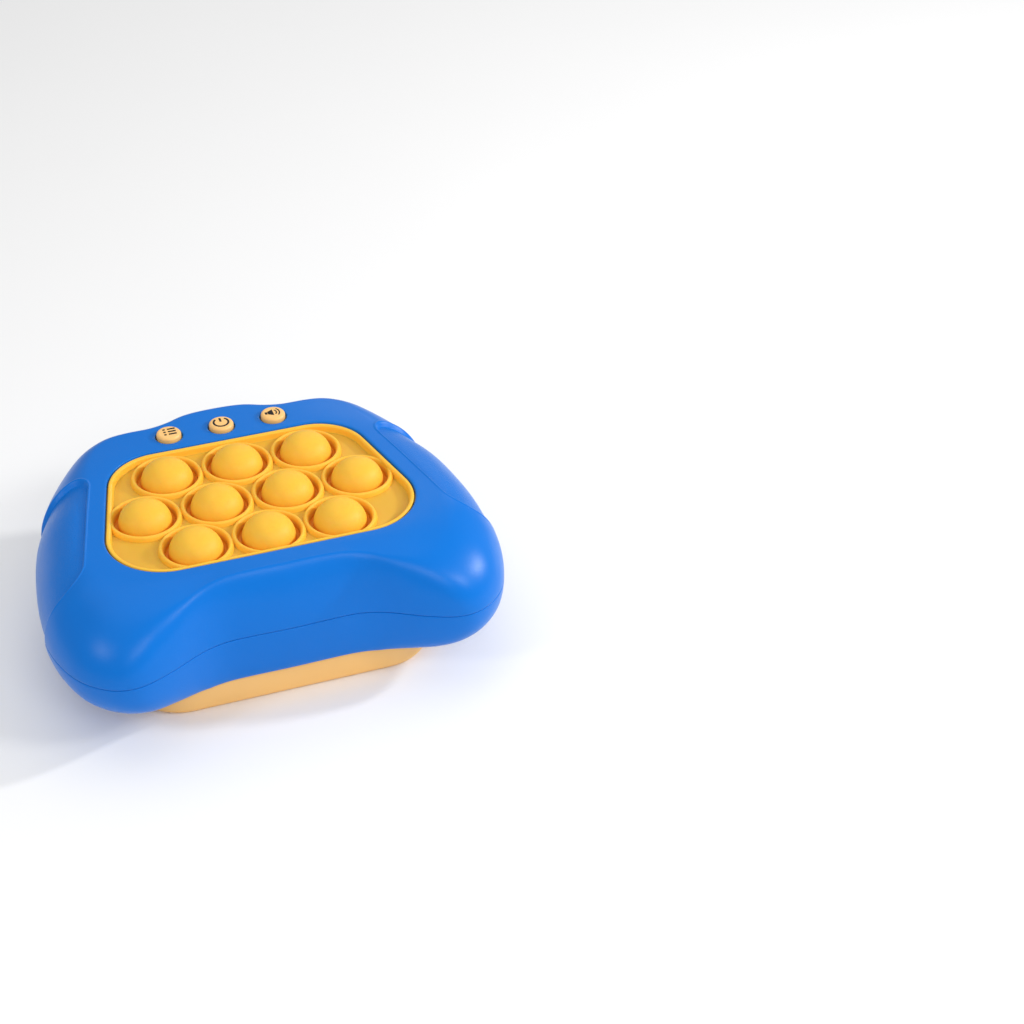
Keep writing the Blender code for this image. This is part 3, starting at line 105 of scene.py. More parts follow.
# The plan outline from the middle of the back to the middle of the front: x and y in shares of
# the half width and depth, the roll's share, the share of the height it climbs, its roundness.
OUTLINE_SHARES = (
    (0.000, 1.000, 0.32, 1.00, 2.0),
    (0.145, 0.986, 0.32, 1.00, 2.0),
    (0.241, 0.937, 0.32, 1.00, 2.0),
    (0.338, 0.906, 0.32, 1.00, 2.0),
    (0.458, 0.909, 0.34, 0.99, 2.0),
    (0.567, 0.902, 0.41, 0.97, 2.0),
    (0.676, 0.843, 0.55, 0.95, 2.0),
    (0.760, 0.725, 0.68, 0.95, 2.0),
    (0.828, 0.594, 0.82, 0.97, 2.0),
    (0.869, 0.486, 0.86, 0.98, 2.0),
    (0.943, 0.247, 0.91, 1.00, 2.0),
    (0.980, 0.000, 0.91, 1.00, 2.0),
    (1.000, -0.247, 0.91, 1.00, 2.0),
    (0.996, -0.509, 0.95, 0.95, 2.0),
    (0.965, -0.694, 1.00, 0.86, 2.0),
    (0.905, -0.856, 1.00, 0.78, 2.0),
    (0.802, -0.972, 1.00, 0.72, 2.0),
    (0.688, -1.000, 0.91, 0.72, 2.0),
    (0.549, -0.934, 0.73, 0.78, 1.9),
    (0.410, -0.836, 0.50, 0.90, 1.7),
    (0.290, -0.787, 0.36, 0.98, 1.55),
    (0.145, -0.785, 0.34, 1.00, 1.5),
    (0.000, -0.790, 0.34, 1.00, 1.5),
)


def case_outline():
    """Rows of angle, radius, roll, climb, roundness and slant, closely spaced round the plan.

    A smooth curve runs through the shares, and each point is then evened out with those near it.
    """
    half = np.array(OUTLINE_SHARES)
    mirrored = half[-2:0:-1] * (-1, 1, 1, 1, 1)
    loop = np.vstack([half, mirrored])
    t = np.linspace(0, 1, 40, endpoint=False)[:, None, None]
    a, b, c, d = (np.roll(loop, shift, axis=0)[None] for shift in (1, 0, -1, -2))
    curve = 2 * b + (c - a) * t + (2 * a - 5 * b + 4 * c - d) * t**2
    curve = 0.5 * (curve + (3 * b - a - 3 * c + d) * t**3)
    curve = curve.transpose(1, 0, 2).reshape(-1, 5)
    near = np.arange(-30, 31)
    spread = np.exp(-0.5 * (near / 9) ** 2)
    spread /= spread.sum()
    curve = sum(np.roll(curve, step, axis=0) * share for step, share in zip(near, spread))
    x = curve[:, 0] / curve[:, 0].max() * CASE_WIDTH / 2
    y = curve[:, 1] - curve[:, 1].min()
    y = (y / y.max() - 0.5) * CASE_DEPTH
    along = np.stack([np.roll(v, -1) - np.roll(v, 1) for v in (x, y)], axis=1)
    along /= np.linalg.norm(along, axis=1)[:, None]
    radius = np.hypot(x, y - CENTRE_Y)
    across = (x * along[:, 1] - (y - CENTRE_Y) * along[:, 0]) / radius
    slant = np.maximum(np.abs(across), 0.5)
    table = [np.arctan2(y - CENTRE_Y, x), radius, *curve[:, 2:].T, slant]
    return np.array(table)[:, np.argsort(table[0])]


OUTLINE = case_outline()


def round_corners(corners, grow=0.0, steps=24):
    """Points round a plan of (x, y, radius) corners with arcs in them, moved outwards by grow."""
    points = []
    for i, (x, y, radius) in enumerate(corners):
        here = np.array((x, y))
        before = np.array(corners[i - 1][:2]) - here
        after = np.array(corners[(i + 1) % len(corners)][:2]) - here
        before, after = before / np.linalg.norm(before), after / np.linalg.norm(after)
        half = math.acos(np.clip(before @ after, -1, 1)) / 2
        middle = before + after
        centre = here + middle / np.linalg.norm(middle) * radius / math.sin(half)
        start = here + before * radius / math.tan(half) - centre
        turn = math.atan2(start[1], start[0])
        for k in range(steps + 1):
            at = turn + (math.pi - 2 * half) * k / steps
            points.append(centre + (radius + grow) * np.array((math.cos(at), math.sin(at))))
    return np.array(points)


def window(grow=0.0):
    """The window's plan. It lies a little further back than the bubbles' grid."""
    back, front = WINDOW_BACK_WIDTH / 2, WINDOW_FRONT_WIDTH / 2
    high, low = WINDOW_DEPTH / 2 + 0.9 * MM, -WINDOW_DEPTH / 2 + 0.35 * MM
    corners = ((back, high, CORNER), (-back, high, CORNER))
    corners += ((-front, low, FRONT_CORNER), (front, low, FRONT_CORNER))
    return round_corners(corners, grow)


def plate(grow=0.0):
    """The reset plate's plan."""
    back, front = PLATE_BACK_WIDTH / 2, PLATE_FRONT_WIDTH / 2
    corners = ((back, PLATE_BACK, CORNER), (-back, PLATE_BACK, CORNER))
    corners += ((-front, -PLATE_FRONT, CORNER), (front, -PLATE_FRONT, CORNER))
    return round_corners(corners, grow)


def reach(points, angle, centre=(0.0, 0.0)):
    """How far each ray from a centre goes before it leaves a plan."""
    ends = np.roll(points, -1, axis=0)
    part = np.linspace(0, 1, 40, endpoint=False)[:, None]
    dense = np.concatenate([a + (b - a) * part for a, b in zip(points, ends)]) - centre
    angles = np.arctan2(dense[:, 1], dense[:, 0])
    return np.interp(angle, angles, np.hypot(dense[:, 0], dense[:, 1]), period=2 * np.pi)


def case_facts(angle, front):
    """Outer radius, roll, roundness, slant, height, climb, run and whole flat at each angle."""
    outer, roll, climb, roundness, slant = (
        np.interp(angle, OUTLINE[0], column, period=2 * np.pi) for column in OUTLINE[1:]
    )
    height = FRONT_HEIGHT if front else REAR_HEIGHT
    opening = reach(window() if front else plate(), angle, (0.0, CENTRE_Y))
    if not front:
        # Where the front half slopes away, the rear half is squarer and keeps more of its height.
        roundness = 2 + 2.6 * (1 - climb)
        climb = 1 - (1 - climb) * 0.4
    flat = outer - opening
    run = np.maximum(flat - FLAT_RIM, flat * 0.6)
    roll = np.minimum(roll * (TOP_ROLL if front else UNDER_ROLL), run * 0.97)
    return outer, roll, roundness, slant, height, climb * height, run, flat


def eased(share):
    """A share from 0 to 1 that starts and ends softly."""
    return share**2 * (3 - 2 * share)


def skin(facts, turn, inset):
    """Radius, rise and way in for points of the case's surface.

    Turn 0 to 1 climbs the roll, 1 to 2 crosses the flat and 2 to 3 reaches the opening.
    """
    outer, roll, roundness, slant, height, climb, run, flat = facts
    side = inset / slant
    small = np.maximum(roll - side, inset * 0.15)
    quarter = np.clip(turn, 0, 1) * np.pi / 2
    across = 1 - np.clip(np.cos(quarter), 0, 1) ** (2 / roundness)
    up = np.sin(quarter) ** (2 / roundness)
    start = side + small
    end = np.maximum(run, start + side * 0.15)
    way_in = side + small * across + (end - start) * np.clip(turn - 1, 0, 1)
    way_in = way_in + np.maximum(flat - end, 0) * np.clip(turn - 2, 0, 1)
    share = np.minimum(way_in / run, 1)
    rise = (climb - inset) * up + (height - climb) * eased(share)
    return outer - way_in, rise, way_in


def rounded_most(a, b, radius):
    """The larger of two distances, with the corner between them rounded."""
    outside = np.hypot(np.maximum(a + radius, 0), np.maximum(b + radius, 0))
    return np.minimum(np.maximum(a, b), -radius) + outside


# A grip's edge runs slanting beside the window and across the back, through these two places.
# It turns out to the side at its front line, and the bends between have these radii.
GRIP_SIDE, SIDE_FACING = (54.6 * MM, 24.5 * MM), (0.975, 0.2222)
GRIP_BACK, BACK_SLOPE = (60 * MM, 30 * MM), 0.15
GRIP_FRONT = -30.3 * MM
BACK_BEND, FRONT_BEND = 8 * MM, 9.5 * MM


def grip_distance(angle, radius):
    """Signed distance in plan from a grip's edge, below zero on the grip."""
    x = np.abs(np.cos(angle)) * radius
    y = CENTRE_Y + np.sin(angle) * radius
    side = (GRIP_SIDE[0] - x) * SIDE_FACING[0] + (GRIP_SIDE[1] - y) * SIDE_FACING[1]
    back = y - GRIP_BACK[1] + BACK_SLOPE * (x - GRIP_BACK[0])
    back /= math.hypot(1, BACK_SLOPE)
    edge = rounded_most(side, back, BACK_BEND)
    return rounded_most(edge, GRIP_FRONT - y, FRONT_BEND)


def sunk_skin(facts, angle, turn, tuck):
    """Radius and rise of the skin with the grips sunk into it, and the grip's share.

    A low bead runs beside each grip's edge, and the recess is deeper towards the back.
    """
    radius, _, way_in = skin(facts, turn, 0.0)
    distance = grip_distance(angle, radius)
    behind = np.clip((CENTRE_Y + np.sin(angle) * radius) / (28 * MM), 0, 1) ** 2
    step = GRIP_STEP * (1 + behind)
    grip = eased(1 - np.clip(distance / step + 0.5, 0, 1))
    bead = BEAD_HEIGHT * np.exp(-(((distance - step / 2 - 0.25 * MM) / BEAD_WIDTH) ** 2))
    bead *= np.clip((way_in - 2 * MM) / (3 * MM), 0, 1)
    bead *= np.clip((BEAD_REACH - np.abs(np.cos(angle)) * radius) / MM, 0, 1)
    depth = GRIP_DEPTH * (1 + 0.8 * behind)
    radius, rise, _ = skin(facts, turn, tuck + depth * grip - bead)
    return radius, rise, grip


def even_columns(count):
    """Angles round the case, closer where the outline bends."""
    angles, radii = OUTLINE[0], OUTLINE[1]
    x, y = radii * np.cos(angles), radii * np.sin(angles)
    dx, dy = np.roll(x, -1) - x, np.roll(y, -1) - y
    heading = np.arctan2(dy, dx)
    bend = np.abs((np.roll(heading, -1) - heading + np.pi) % (2 * np.pi) - np.pi)
    weight = np.cumsum(np.hypot(dx, dy) / CASE_WIDTH + bend / np.pi / 2)
    spaced = np.interp((np.arange(count) + 0.5) / count * weight[-1], weight, angles)
    turned_round = np.sort((np.concatenate([spaced, [np.pi / 2]]) + np.pi / 2) % (2 * np.pi))
    return turned_round - np.pi / 2


COLUMNS = even_columns(500)


def mesh_of_grid(name, points, wrap_rows=False):
    """A mesh from rows of points that each close on themselves."""
    rows, columns = points.shape[:2]
    bands = rows if wrap_rows else rows - 1
    k, i = np.meshgrid(np.arange(bands), np.arange(columns), indexing="ij")
    n, j = (k + 1) % rows, (i + 1) % columns
    faces = np.stack([k * columns + i, k * columns + j, n * columns + j, n * columns + i], -1)
    mesh = bpy.data.meshes.new(name)
    mesh.from_pydata(points.reshape(-1, 3).tolist(), [], faces.reshape(-1, 4).tolist())
    return mesh


def placed(angle, radius, height):
    """Points at angles and radii round the case's upright axis."""
    x, y = np.cos(angle) * radius, CENTRE_Y + np.sin(angle) * radius
    return np.stack([x, y, height + 0 * radius], -1)


def added(name, data):
    """A new object in the scene."""
    made = bpy.data.objects.new(name, data)
    bpy.context.scene.collection.objects.link(made)
    return made


def opened(mesh):
    """A bmesh of a mesh, which is then gone."""
    bm = bmesh.new()
    bm.from_mesh(mesh)
    bpy.data.meshes.remove(mesh)
    return bm


def mark(mesh, name, values):
    """Keeps a value for each point of a mesh."""
    made = mesh.attributes.new(name, "FLOAT", "POINT")
    made.data.foreach_set("value", np.asarray(values, dtype=np.float32).ravel())


# Edges that bend by more than this many degrees look sharp.
EDGE_ANGLE = 38.0
SHELL_ANGLE = 62.0
WELD = 0.002 * MM


def finished(name, bm, finish, angle=EDGE_ANGLE):
    """A plain object from a bmesh: faces outwards, smooth except at real edges."""
    bmesh.ops.recalc_face_normals(bm, faces=bm.faces)
    mesh = bpy.data.meshes.new(name)
    bm.to_mesh(mesh)
    bm.free()
    mesh.shade_smooth()
    mesh.set_sharp_from_angle(angle=math.radians(angle))
    if finish is not None:
        mesh.materials.clear()
        mesh.materials.append(finish)
    return added(name, mesh)


def settled(thing, finish=None, angle=EDGE_ANGLE):
    """A piece's evaluated shape as a plain mesh, with the modifiers gone."""
    name = thing.name
    graph = bpy.context.evaluated_depsgraph_get()
    mesh = bpy.data.meshes.new_from_object(thing.evaluated_get(graph))
    bpy.data.objects.remove(thing)
    bm = opened(mesh)
    bmesh.ops.remove_doubles(bm, verts=bm.verts, dist=WELD)
    return finished(name, bm, finish, angle)


def cut_away(thing, cutter, angle=EDGE_ANGLE):
    """Takes the cutter's room out of a piece, and removes the cutter."""
    step = thing.modifiers.new("cut", "BOOLEAN")
    step.operation = "DIFFERENCE"
    step.solver = "EXACT"
    step.object = cutter
    made = settled(thing, thing.data.materials[0] if thing.data.materials else None, angle)
    bpy.data.objects.remove(cutter)
    return made


def put_together(things, name, finish, angle=EDGE_ANGLE):
    """Several meshes as one piece."""
    bm = bmesh.new()
    for thing in things:
        bm.from_mesh(thing.data)
        bpy.data.objects.remove(thing)
    return finished(name, bm, finish, angle)


def shell_rows(facts, front):
    """The skin's rows of turn and tuck, and all rows of radius and rise round the wall."""
    outer, _, roundness, slant, height, climb, run, flat = facts

    def turn_at(rise):
        return np.arcsin((rise / climb) ** (roundness / 2)) * 2 / np.pi

    # The skin tucks in at the part line, so that the two halves leave a fine groove.
    rows = [(turn_at(PART_LINE), 0.25 * MM), (turn_at(0.16 * MM), 0.08 * MM)]
    rows.append((turn_at(0.36 * MM), 0.0))
    first = turn_at(1.0 * MM)
    rows += [(first + (1 - first) * share, 0.0) for share in np.linspace(0, 1, 30)]
    rows += [(1 + share, 0.0) for share in np.linspace(0, 1, 16)[1:]]
    edge = 0.6 * MM
    last = (flat - run - edge) / (flat - run)
    rows += [(2 + last * share, 0.0) for share in (0.35, 0.7, 1.0)]
    turns = np.array([turn + 0 * outer for turn, _ in rows])
    tucks = np.array([tuck + 0 * outer for _, tuck in rows])
    lines = [skin(facts, turn, tuck)[:2] for turn, tuck in zip(turns, tucks)]
    opening = outer - flat
    for a in np.radians((22, 45, 68, 90)):
        rise = height - edge * (1 - np.cos(a)) + 0 * outer
        lines.append((opening + edge * (1 - np.sin(a)), rise))
    lines.append((opening, height - WALL + 0 * outer))
    for turn in (2.0, 1.5, 1.0, 0.8, 0.58, 0.35, 0.155, 0.0):
        lines.append(skin(facts, turn + 0 * outer, WALL)[:2])
    lines[-1] = (lines[-1][0], PART_LINE + 0 * outer)
    if not front:
        lip = outer - (WALL + 2 * GAP) / slant
        inner = lip - 1.2 * MM / slant
        lines[-1] = (inner, 1.5 * MM + 0 * outer)
        low = -2.2 * MM + 0 * outer
        lines += [(inner, low), (lip, low), (lip, PART_LINE + 0 * outer)]
    return turns, tucks, lines


def shell(name, front, finish):
    """One half of the case as a closed wall: skin, opening's edge, inner side and part line.

    The skin's faces near a grip's edge are divided before the grip sinks.
    """
    facts = case_facts(COLUMNS, front)
    way = 1 if front else -1
    turns, tucks, lines = shell_rows(facts, front)
    points = np.array([placed(COLUMNS, r, Z_PART + way * rise) for r, rise in lines])
    mesh = mesh_of_grid(name, points, wrap_rows=True)
    distance = grip_distance(COLUMNS[None], skin(facts, turns, 0.0)[0])
    layers = {"angle": COLUMNS[None] + 0 * turns, "turn": turns, "tuck": tucks}
    layers["near"] = np.abs(distance) < 1.7 * MM
    layers["skin"] = np.ones_like(turns)
    for key, values in layers.items():
        full = np.zeros(points.shape[:2])
        full[: len(turns)] = values
        mark(mesh, key, full)
    bm = opened(mesh)
    near, on_skin = (bm.verts.layers.float[key] for key in ("near", "skin"))
    skin_faces = [f for f in bm.faces if all(v[on_skin] for v in f.verts)]
    faces = [f for f in skin_faces if any(v[near] for v in f.verts)]
    edges = list({e for f in faces for e in f.edges})
    bmesh.ops.subdivide_edges(bm, edges=edges, cuts=4, use_grid_fill=True)
    get = [bm.verts.layers.float[key] for key in ("angle", "turn", "tuck", "skin")]
    values = np.array([[v[layer] for layer in get] for v in bm.verts])
    wanted = values[:, 3] > 0.999
    angle, turn, tuck, _ = values[wanted].T
    radius, rise, grip = sunk_skin(case_facts(angle, front), angle, turn, tuck)
    moved = placed(angle, radius, Z_PART + way * rise)
    palm = bm.verts.layers.float.new("palm")
    for v, place, share in zip((v for v, on in zip(bm.verts, wanted) if on), moved, grip):
        v.co = place
        v[palm] = share
    for key in layers:
        bm.verts.layers.float.remove(bm.verts.layers.float[key])
    return finished(name, bm, finish, SHELL_ANGLE)


def wire(tree, kind, feeds=(), **settings):
    """A node with its settings, and with each input given a value or a link."""
    made = tree.nodes.new(kind)
    for key, value in settings.items():
        setattr(made, key, value)
    for key, value in dict(feeds).items():
        if isinstance(value, bpy.types.NodeSocket):
            tree.links.new(value, made.inputs[key])
        else:
            made.inputs[key].default_value = value
    return made


def new_tree(name, kind, inputs, outputs):
    """A node tree with named inputs and outputs, and the sockets that give its inputs."""
    tree = bpy.data.node_groups.new(name, f"{kind}NodeTree")
    for way, sockets in (("INPUT", inputs), ("OUTPUT", outputs)):
        for label, sort in sockets.items():
            tree.interface.new_socket(label, in_out=way, socket_type=f"NodeSocket{sort}")
    return tree, wire(tree, "NodeGroupInput").outputs


def dressed(tree, shape, finish):
    """Ends a piece's tree: its copies made real and its finish set."""
    real = wire(tree, "GeometryNodeRealizeInstances", {"Geometry": shape})
    dress = {"Geometry": real.outputs["Geometry"], "Material": finish}
    whole = wire(tree, "GeometryNodeSetMaterial", dress).outputs["Geometry"]
    wire(tree, "NodeGroupOutput", {"Geometry": whole})


def copied(tree, points, shape, finish):
    """Ends a piece's tree with a copy of a shape at each point."""
    copies = {"Points": points, "Instance": shape}
    copies = wire(tree, "GeometryNodeInstanceOnPoints", copies)
    dressed(tree, copies.outputs["Instances"], finish)


def grown(name, mesh, tree, values, finish=None, angle=EDGE_ANGLE):
    """What a tree makes of a mesh, as a plain piece. Inputs are set by identifier."""
    thing = added(name, mesh)
    step = thing.modifiers.new("grow", "NODES")
    step.node_group = tree
    for item in tree.interface.items_tree:
        if item.in_out == "INPUT" and item.name in values:
            step[item.identifier] = values[item.name]
    return settled(thing, finish, angle)


def turning_tree():
    """Turns the object's own profile of radius and height about an upright axis."""
    inputs = {"Profile": "Geometry", "Sides": "Int", "Guide Radius": "Float", "Place": "Vector"}
    inputs["Finish"] = "Material"
    tree, given = new_tree("turned_piece", "Geometry", inputs, {"Geometry": "Geometry"})
    line = wire(tree, "GeometryNodeMeshToCurve", {"Mesh": given["Profile"]})
    path = {"Resolution": given["Sides"], "Radius": given["Guide Radius"]}
    path = wire(tree, "GeometryNodeCurvePrimitiveCircle", path).outputs["Curve"]
    sweep = {"Curve": path, "Profile Curve": line.outputs["Curve"]}
    swept = wire(tree, "GeometryNodeCurveToMesh", sweep).outputs["Mesh"]
    weld = wire(tree, "GeometryNodeMergeByDistance", {"Geometry": swept, "Distance": WELD})
    move = {"Geometry": weld.outputs["Geometry"], "Translation": given["Place"]}
    moved = wire(tree, "GeometryNodeTransform", move)
    dressed(tree, moved.outputs["Geometry"], given["Finish"])
    return tree


TURNING = turning_tree()


def turned(name, profile, place, sides, finish, closed=False, angle=EDGE_ANGLE):
    """A piece turned on an upright axis from (radius, height) points."""
    guide = 10 * MM
    points = [(radius - guide, -height, 0.0) for radius, height in profile]
    edges = [(k, k + 1) for k in range(len(points) - 1)]
    if closed:
        edges.append((len(points) - 1, 0))
    mesh = bpy.data.meshes.new(name)
    mesh.from_pydata(points, edges, [])
    values = {"Sides": sides, "Guide Radius": guide, "Finish": finish}
    values["Place"] = (place[0], place[1], 0.0)
    return grown(name, mesh, TURNING, values, finish, angle)


def arc(centre, radius, start, end, steps):
    """Points of (radius, height) on an arc between two angles in degrees."""
    turns = [math.radians(start + (end - start) * k / steps) for k in range(steps + 1)]
    return [(centre[0] + radius * math.cos(t), centre[1] + radius * math.sin(t)) for t in turns]


def maths(tree, operation, first, second):
    """The result of one product or comparison."""
    return wire(tree, "ShaderNodeMath", {0: first, 1: second}, operation=operation).outputs[0]


def grain_group():
    """The fine texture of a moulded surface: a small grain and a broader unevenness."""
    inputs = {"Vector": "Vector", "Fine Scale": "Float", "Broad Scale": "Float"}
    outputs = {"Height": "Float", "Unevenness": "Float"}
    tree, given = new_tree("moulded_grain", "Shader", inputs, outputs)
    shares = {}
    for label, scale, detail in (("Height", "Fine Scale", 3.0), ("Unevenness", "Broad Scale", 2.0)):
        noise = {"Vector": given["Vector"], "Scale": given[scale], "Detail": detail}
        shares[label] = wire(tree, "ShaderNodeTexNoise", noise).outputs["Fac"]
    wire(tree, "NodeGroupOutput", shares)
    return tree


def edge_highlight_group():
    """Painted highlight along a moulded piece's outer edges, broken up by noise."""
    inputs = {"Vector": "Vector", "Start": "Float", "Amount": "Float"}
    tree, given = new_tree("painted_edge_highlight", "Shader", inputs, {"Mask": "Float"})
    bent = wire(tree, "ShaderNodeNewGeometry").outputs["Pointiness"]
    span = wire(tree, "ShaderNodeMapRange", {0: bent, 1: given["Start"], 2: 0.62})
    patchy = wire(tree, "ShaderNodeTexNoise", {"Vector": given["Vector"], "Scale": 160.0})
    mask = maths(tree, "MULTIPLY", span.outputs[0], patchy.outputs["Fac"])
    wire(tree, "NodeGroupOutput", {"Mask": maths(tree, "MULTIPLY", mask, given["Amount"])})
    return tree


GRAIN = grain_group()
EDGE_HIGHLIGHT = edge_highlight_group()


def over(tree, share, under, colour):
    """A colour laid over another by a share from 0 to 1."""
    feeds = {0: share, 6: under, 7: (*colour, 1.0)}
    return wire(tree, "ShaderNodeMix", feeds, data_type="RGBA").outputs[2]


def plain_finish(name, colour, shade, roughness, fine, broad, bump, edge_light=0.25, **fixed):
    """A moulded finish: two close tones, uneven gloss, a fine grain and a painted highlight along its outer
    edges.
    """
    made = bpy.data.materials.new(name)
    made.use_nodes = True
    tree = made.node_tree
    shader = tree.nodes["Principled BSDF"]
    coords = wire(tree, "ShaderNodeTexCoord").outputs["Object"]
    scales = {"Vector": coords, "Fine Scale": fine, "Broad Scale": broad}
    grain = wire(tree, "ShaderNodeGroup", scales, node_tree=GRAIN).outputs
    # Painted highlight: outer edges, found by their pointiness, are mixed towards a paler copy of the
    # colour.
    lit_edges = {"Vector": coords, "Start": 0.52, "Amount": edge_light}
    lit_edges = wire(tree, "ShaderNodeGroup", lit_edges, node_tree=EDGE_HIGHLIGHT).outputs["Mask"]
    tone = over(tree, grain["Unevenness"], (*colour, 1.0), shade)
    edge_lit = over(tree, lit_edges, tone, [0.55 + 0.45 * c for c in colour])
    tree.links.new(edge_lit, shader.inputs["Base Color"])
    gloss = {0: grain["Unevenness"], 3: roughness - 0.05, 4: roughness + 0.05}
    tree.links.new(wire(tree, "ShaderNodeMapRange", gloss).outputs[0], shader.inputs["Roughness"])
    relief = {"Height": grain["Height"], "Strength": bump, "Distance": 0.12 * MM}
    relief = wire(tree, "ShaderNodeBump", relief).outputs["Normal"]
    tree.links.new(relief, shader.inputs["Normal"])
    for key, value in fixed.items():
        shader.inputs[key.replace("_", " ")].default_value = value
    return made


def blue_finish():
    """Blue ABS: satin all over, with a coarser pebble inside the grips' recesses."""
    made = plain_finish(
        "case_blue", (0.0, 0.166, 0.635), (0.0, 0.154, 0.6), 0.3, 2600.0, 45.0, 0.3, 0.06,
        Specular_IOR_Level=0.2
    )
    tree = made.node_tree
    normal = tree.nodes["Principled BSDF"].inputs["Normal"]
    coords = wire(tree, "ShaderNodeTexCoord").outputs["Object"]
    palm = wire(tree, "ShaderNodeAttribute", attribute_name="palm").outputs["Fac"]
    pebble = wire(tree, "ShaderNodeTexVoronoi", {"Vector": coords, "Scale": 1800.0})
    height = maths(tree, "MULTIPLY", pebble.outputs["Distance"], palm)
    relief = {"Height": height, "Normal": normal.links[0].from_socket}
    relief |= {"Strength": 0.45, "Distance": 0.2 * MM}
    tree.links.new(wire(tree, "ShaderNodeBump", relief).outputs["Normal"], normal)
    return made


CASE_BLUE = blue_finish()

Z_LEDGE = Z_FLOOR + WALL
Z_JOINT = Z_PART - 6.0 * MM
HEAD_ROOM = 2.8 * MM
PILOT = 1.6 * MM
SEAT_DEPTH = 1.8 * MM
SPEAKER_PLACE = (0.0, (CASE_DEPTH / 2 - WALL + PLATE_BACK + 2.5 * MM) / 2)


def places_round(plan, degrees, away):
    """Places at angles round the case, a distance outside a plan."""
    turns = np.radians(degrees)
    out = reach(plan, turns, (0.0, CENTRE_Y)) + away
    return [(math.cos(a) * r, CENTRE_Y + math.sin(a) * r) for a, r in zip(turns, out)]


CASE_SCREW_PLACES = places_round(plate(), (51.0, 129.0, -37.0, -143.0), 8.2 * MM)


def slot_tree():
    """A row of equal boxes, for slots and grooves."""
    inputs = {"Base": "Geometry", "Count": "Int", "First": "Vector", "Spacing": "Vector"}
    inputs |= {"Size": "Vector", "Finish": "Material"}
    tree, given = new_tree("row_of_slots", "Geometry", inputs, {"Geometry": "Geometry"})
    row = {"Count": given["Count"], "Start Location": given["First"], "Offset": given["Spacing"]}
    row = wire(tree, "GeometryNodeMeshLine", row).outputs["Mesh"]
    bar = wire(tree, "GeometryNodeMeshCube", {"Size": given["Size"]}).outputs["Mesh"]
    copied(tree, row, bar, given["Finish"])
    return tree


SLOTS = slot_tree()


def slots(name, count, first, spacing, size):
    """A row of slot-shaped cutters."""
    values = {"Count": count, "First": first, "Spacing": spacing, "Size": size}
    return grown(name, bpy.data.meshes.new(name), SLOTS, values)


# Each case screw goes up a well, with a tube round it that holds the seat of the screw's head.
well_mouth, well_top = HEAD_ROOM + 0.5 * MM, Z_FLOOR + 12 * MM
well = [(0, Z_FLOOR - MM), (well_mouth, Z_FLOOR - MM), (well_mouth, Z_FLOOR)]
well += [(HEAD_ROOM, Z_FLOOR + 0.5 * MM), (HEAD_ROOM, well_top), (0, well_top)]
tube_side, tube_low, tube_top = HEAD_ROOM + 1.4 * MM, Z_LEDGE - 0.8 * MM, Z_JOINT - GAP
seat = tube_top - SEAT_DEPTH
tube = [(HEAD_ROOM, tube_low), (tube_side, tube_low), (tube_side, tube_top)]
tube += [(PILOT, tube_top), (PILOT, seat), (HEAD_ROOM, seat)]
wells, tubes = [], []
for k, place in enumerate(CASE_SCREW_PLACES):
    wells.append(turned(f"well_{k}", well, place, 40, None))
    tubes.append(turned(f"tube_{k}", tube, place, 40, CASE_BLUE, closed=True))

rear = shell("case_rear", False, CASE_BLUE)
rear = cut_away(rear, put_together(wells, "wells", None), SHELL_ANGLE)
first_slot = (SPEAKER_PLACE[0] - 6 * MM, SPEAKER_PLACE[1], Z_FLOOR + WALL / 2)
sound = slots("sound_slots", 5, first_slot, (3 * MM, 0, 0), (1.5 * MM, 8 * MM, 2 * WALL))
rear = cut_away(rear, sound, SHELL_ANGLE)

# The ring that holds the speaker. Its foot rises at the back, as the shell's floor does there.
ring = [(r * MM, Z_LEDGE + z * MM) for r, z in ((8.3, -0.5), (9.5, -0.5), (9.5, 4.5), (8.3, 4.5))]
holder = turned("speaker_ring", ring, SPEAKER_PLACE, 56, CASE_BLUE, closed=True)
for v in holder.data.vertices:
    behind = max(v.co.y - SPEAKER_PLACE[1], 0.0) / (9.5 * MM)
    if v.co.z < Z_LEDGE:
        v.co.z += 2.2 * MM * behind**3
rear = put_together([rear, *tubes, holder], "case_rear", CASE_BLUE, SHELL_ANGLE)
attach(rear, "casing")
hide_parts("rear_shell")


# Speaker: a small round driver in a black frame, cone down over the sound slots. Its paper cone
# has a rolled edge, and it is held in the rear shell's ring by a bead of glue.
Z_SPEAKER = Z_LEDGE + GAP
SPEAKER_BLACK = plain_finish(
    "speaker_black", (0.022, 0.022, 0.024), (0.04, 0.04, 0.042), 0.6, 1800.0, 120.0, 0.4
)
driver = [(0.0, Z_SPEAKER + 6.5 * MM)]
driver += arc((4.1 * MM, Z_SPEAKER + 6.0 * MM), 0.5 * MM, 90, 0, 4)
driver += [(4.6 * MM, Z_SPEAKER + 4.5 * MM), (7.6 * MM, Z_SPEAKER + 2.6 * MM)]
driver += arc((7.6 * MM, Z_SPEAKER + 0.4 * MM), 0.4 * MM, 0, -90, 4)
driver += arc((6.6 * MM, Z_SPEAKER), 0.55 * MM, 0, 180, 8)
driver += [(4.4 * MM, Z_SPEAKER + 1.4 * MM), (2.6 * MM, Z_SPEAKER + 2.0 * MM)]
driver += arc((0.0, Z_SPEAKER + 0.2 * MM), 2.6 * MM, 40, 90, 6)
speaker = turned("sound_driver", driver, SPEAKER_PLACE, 64, SPEAKER_BLACK)
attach(speaker, "casing")
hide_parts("speaker")


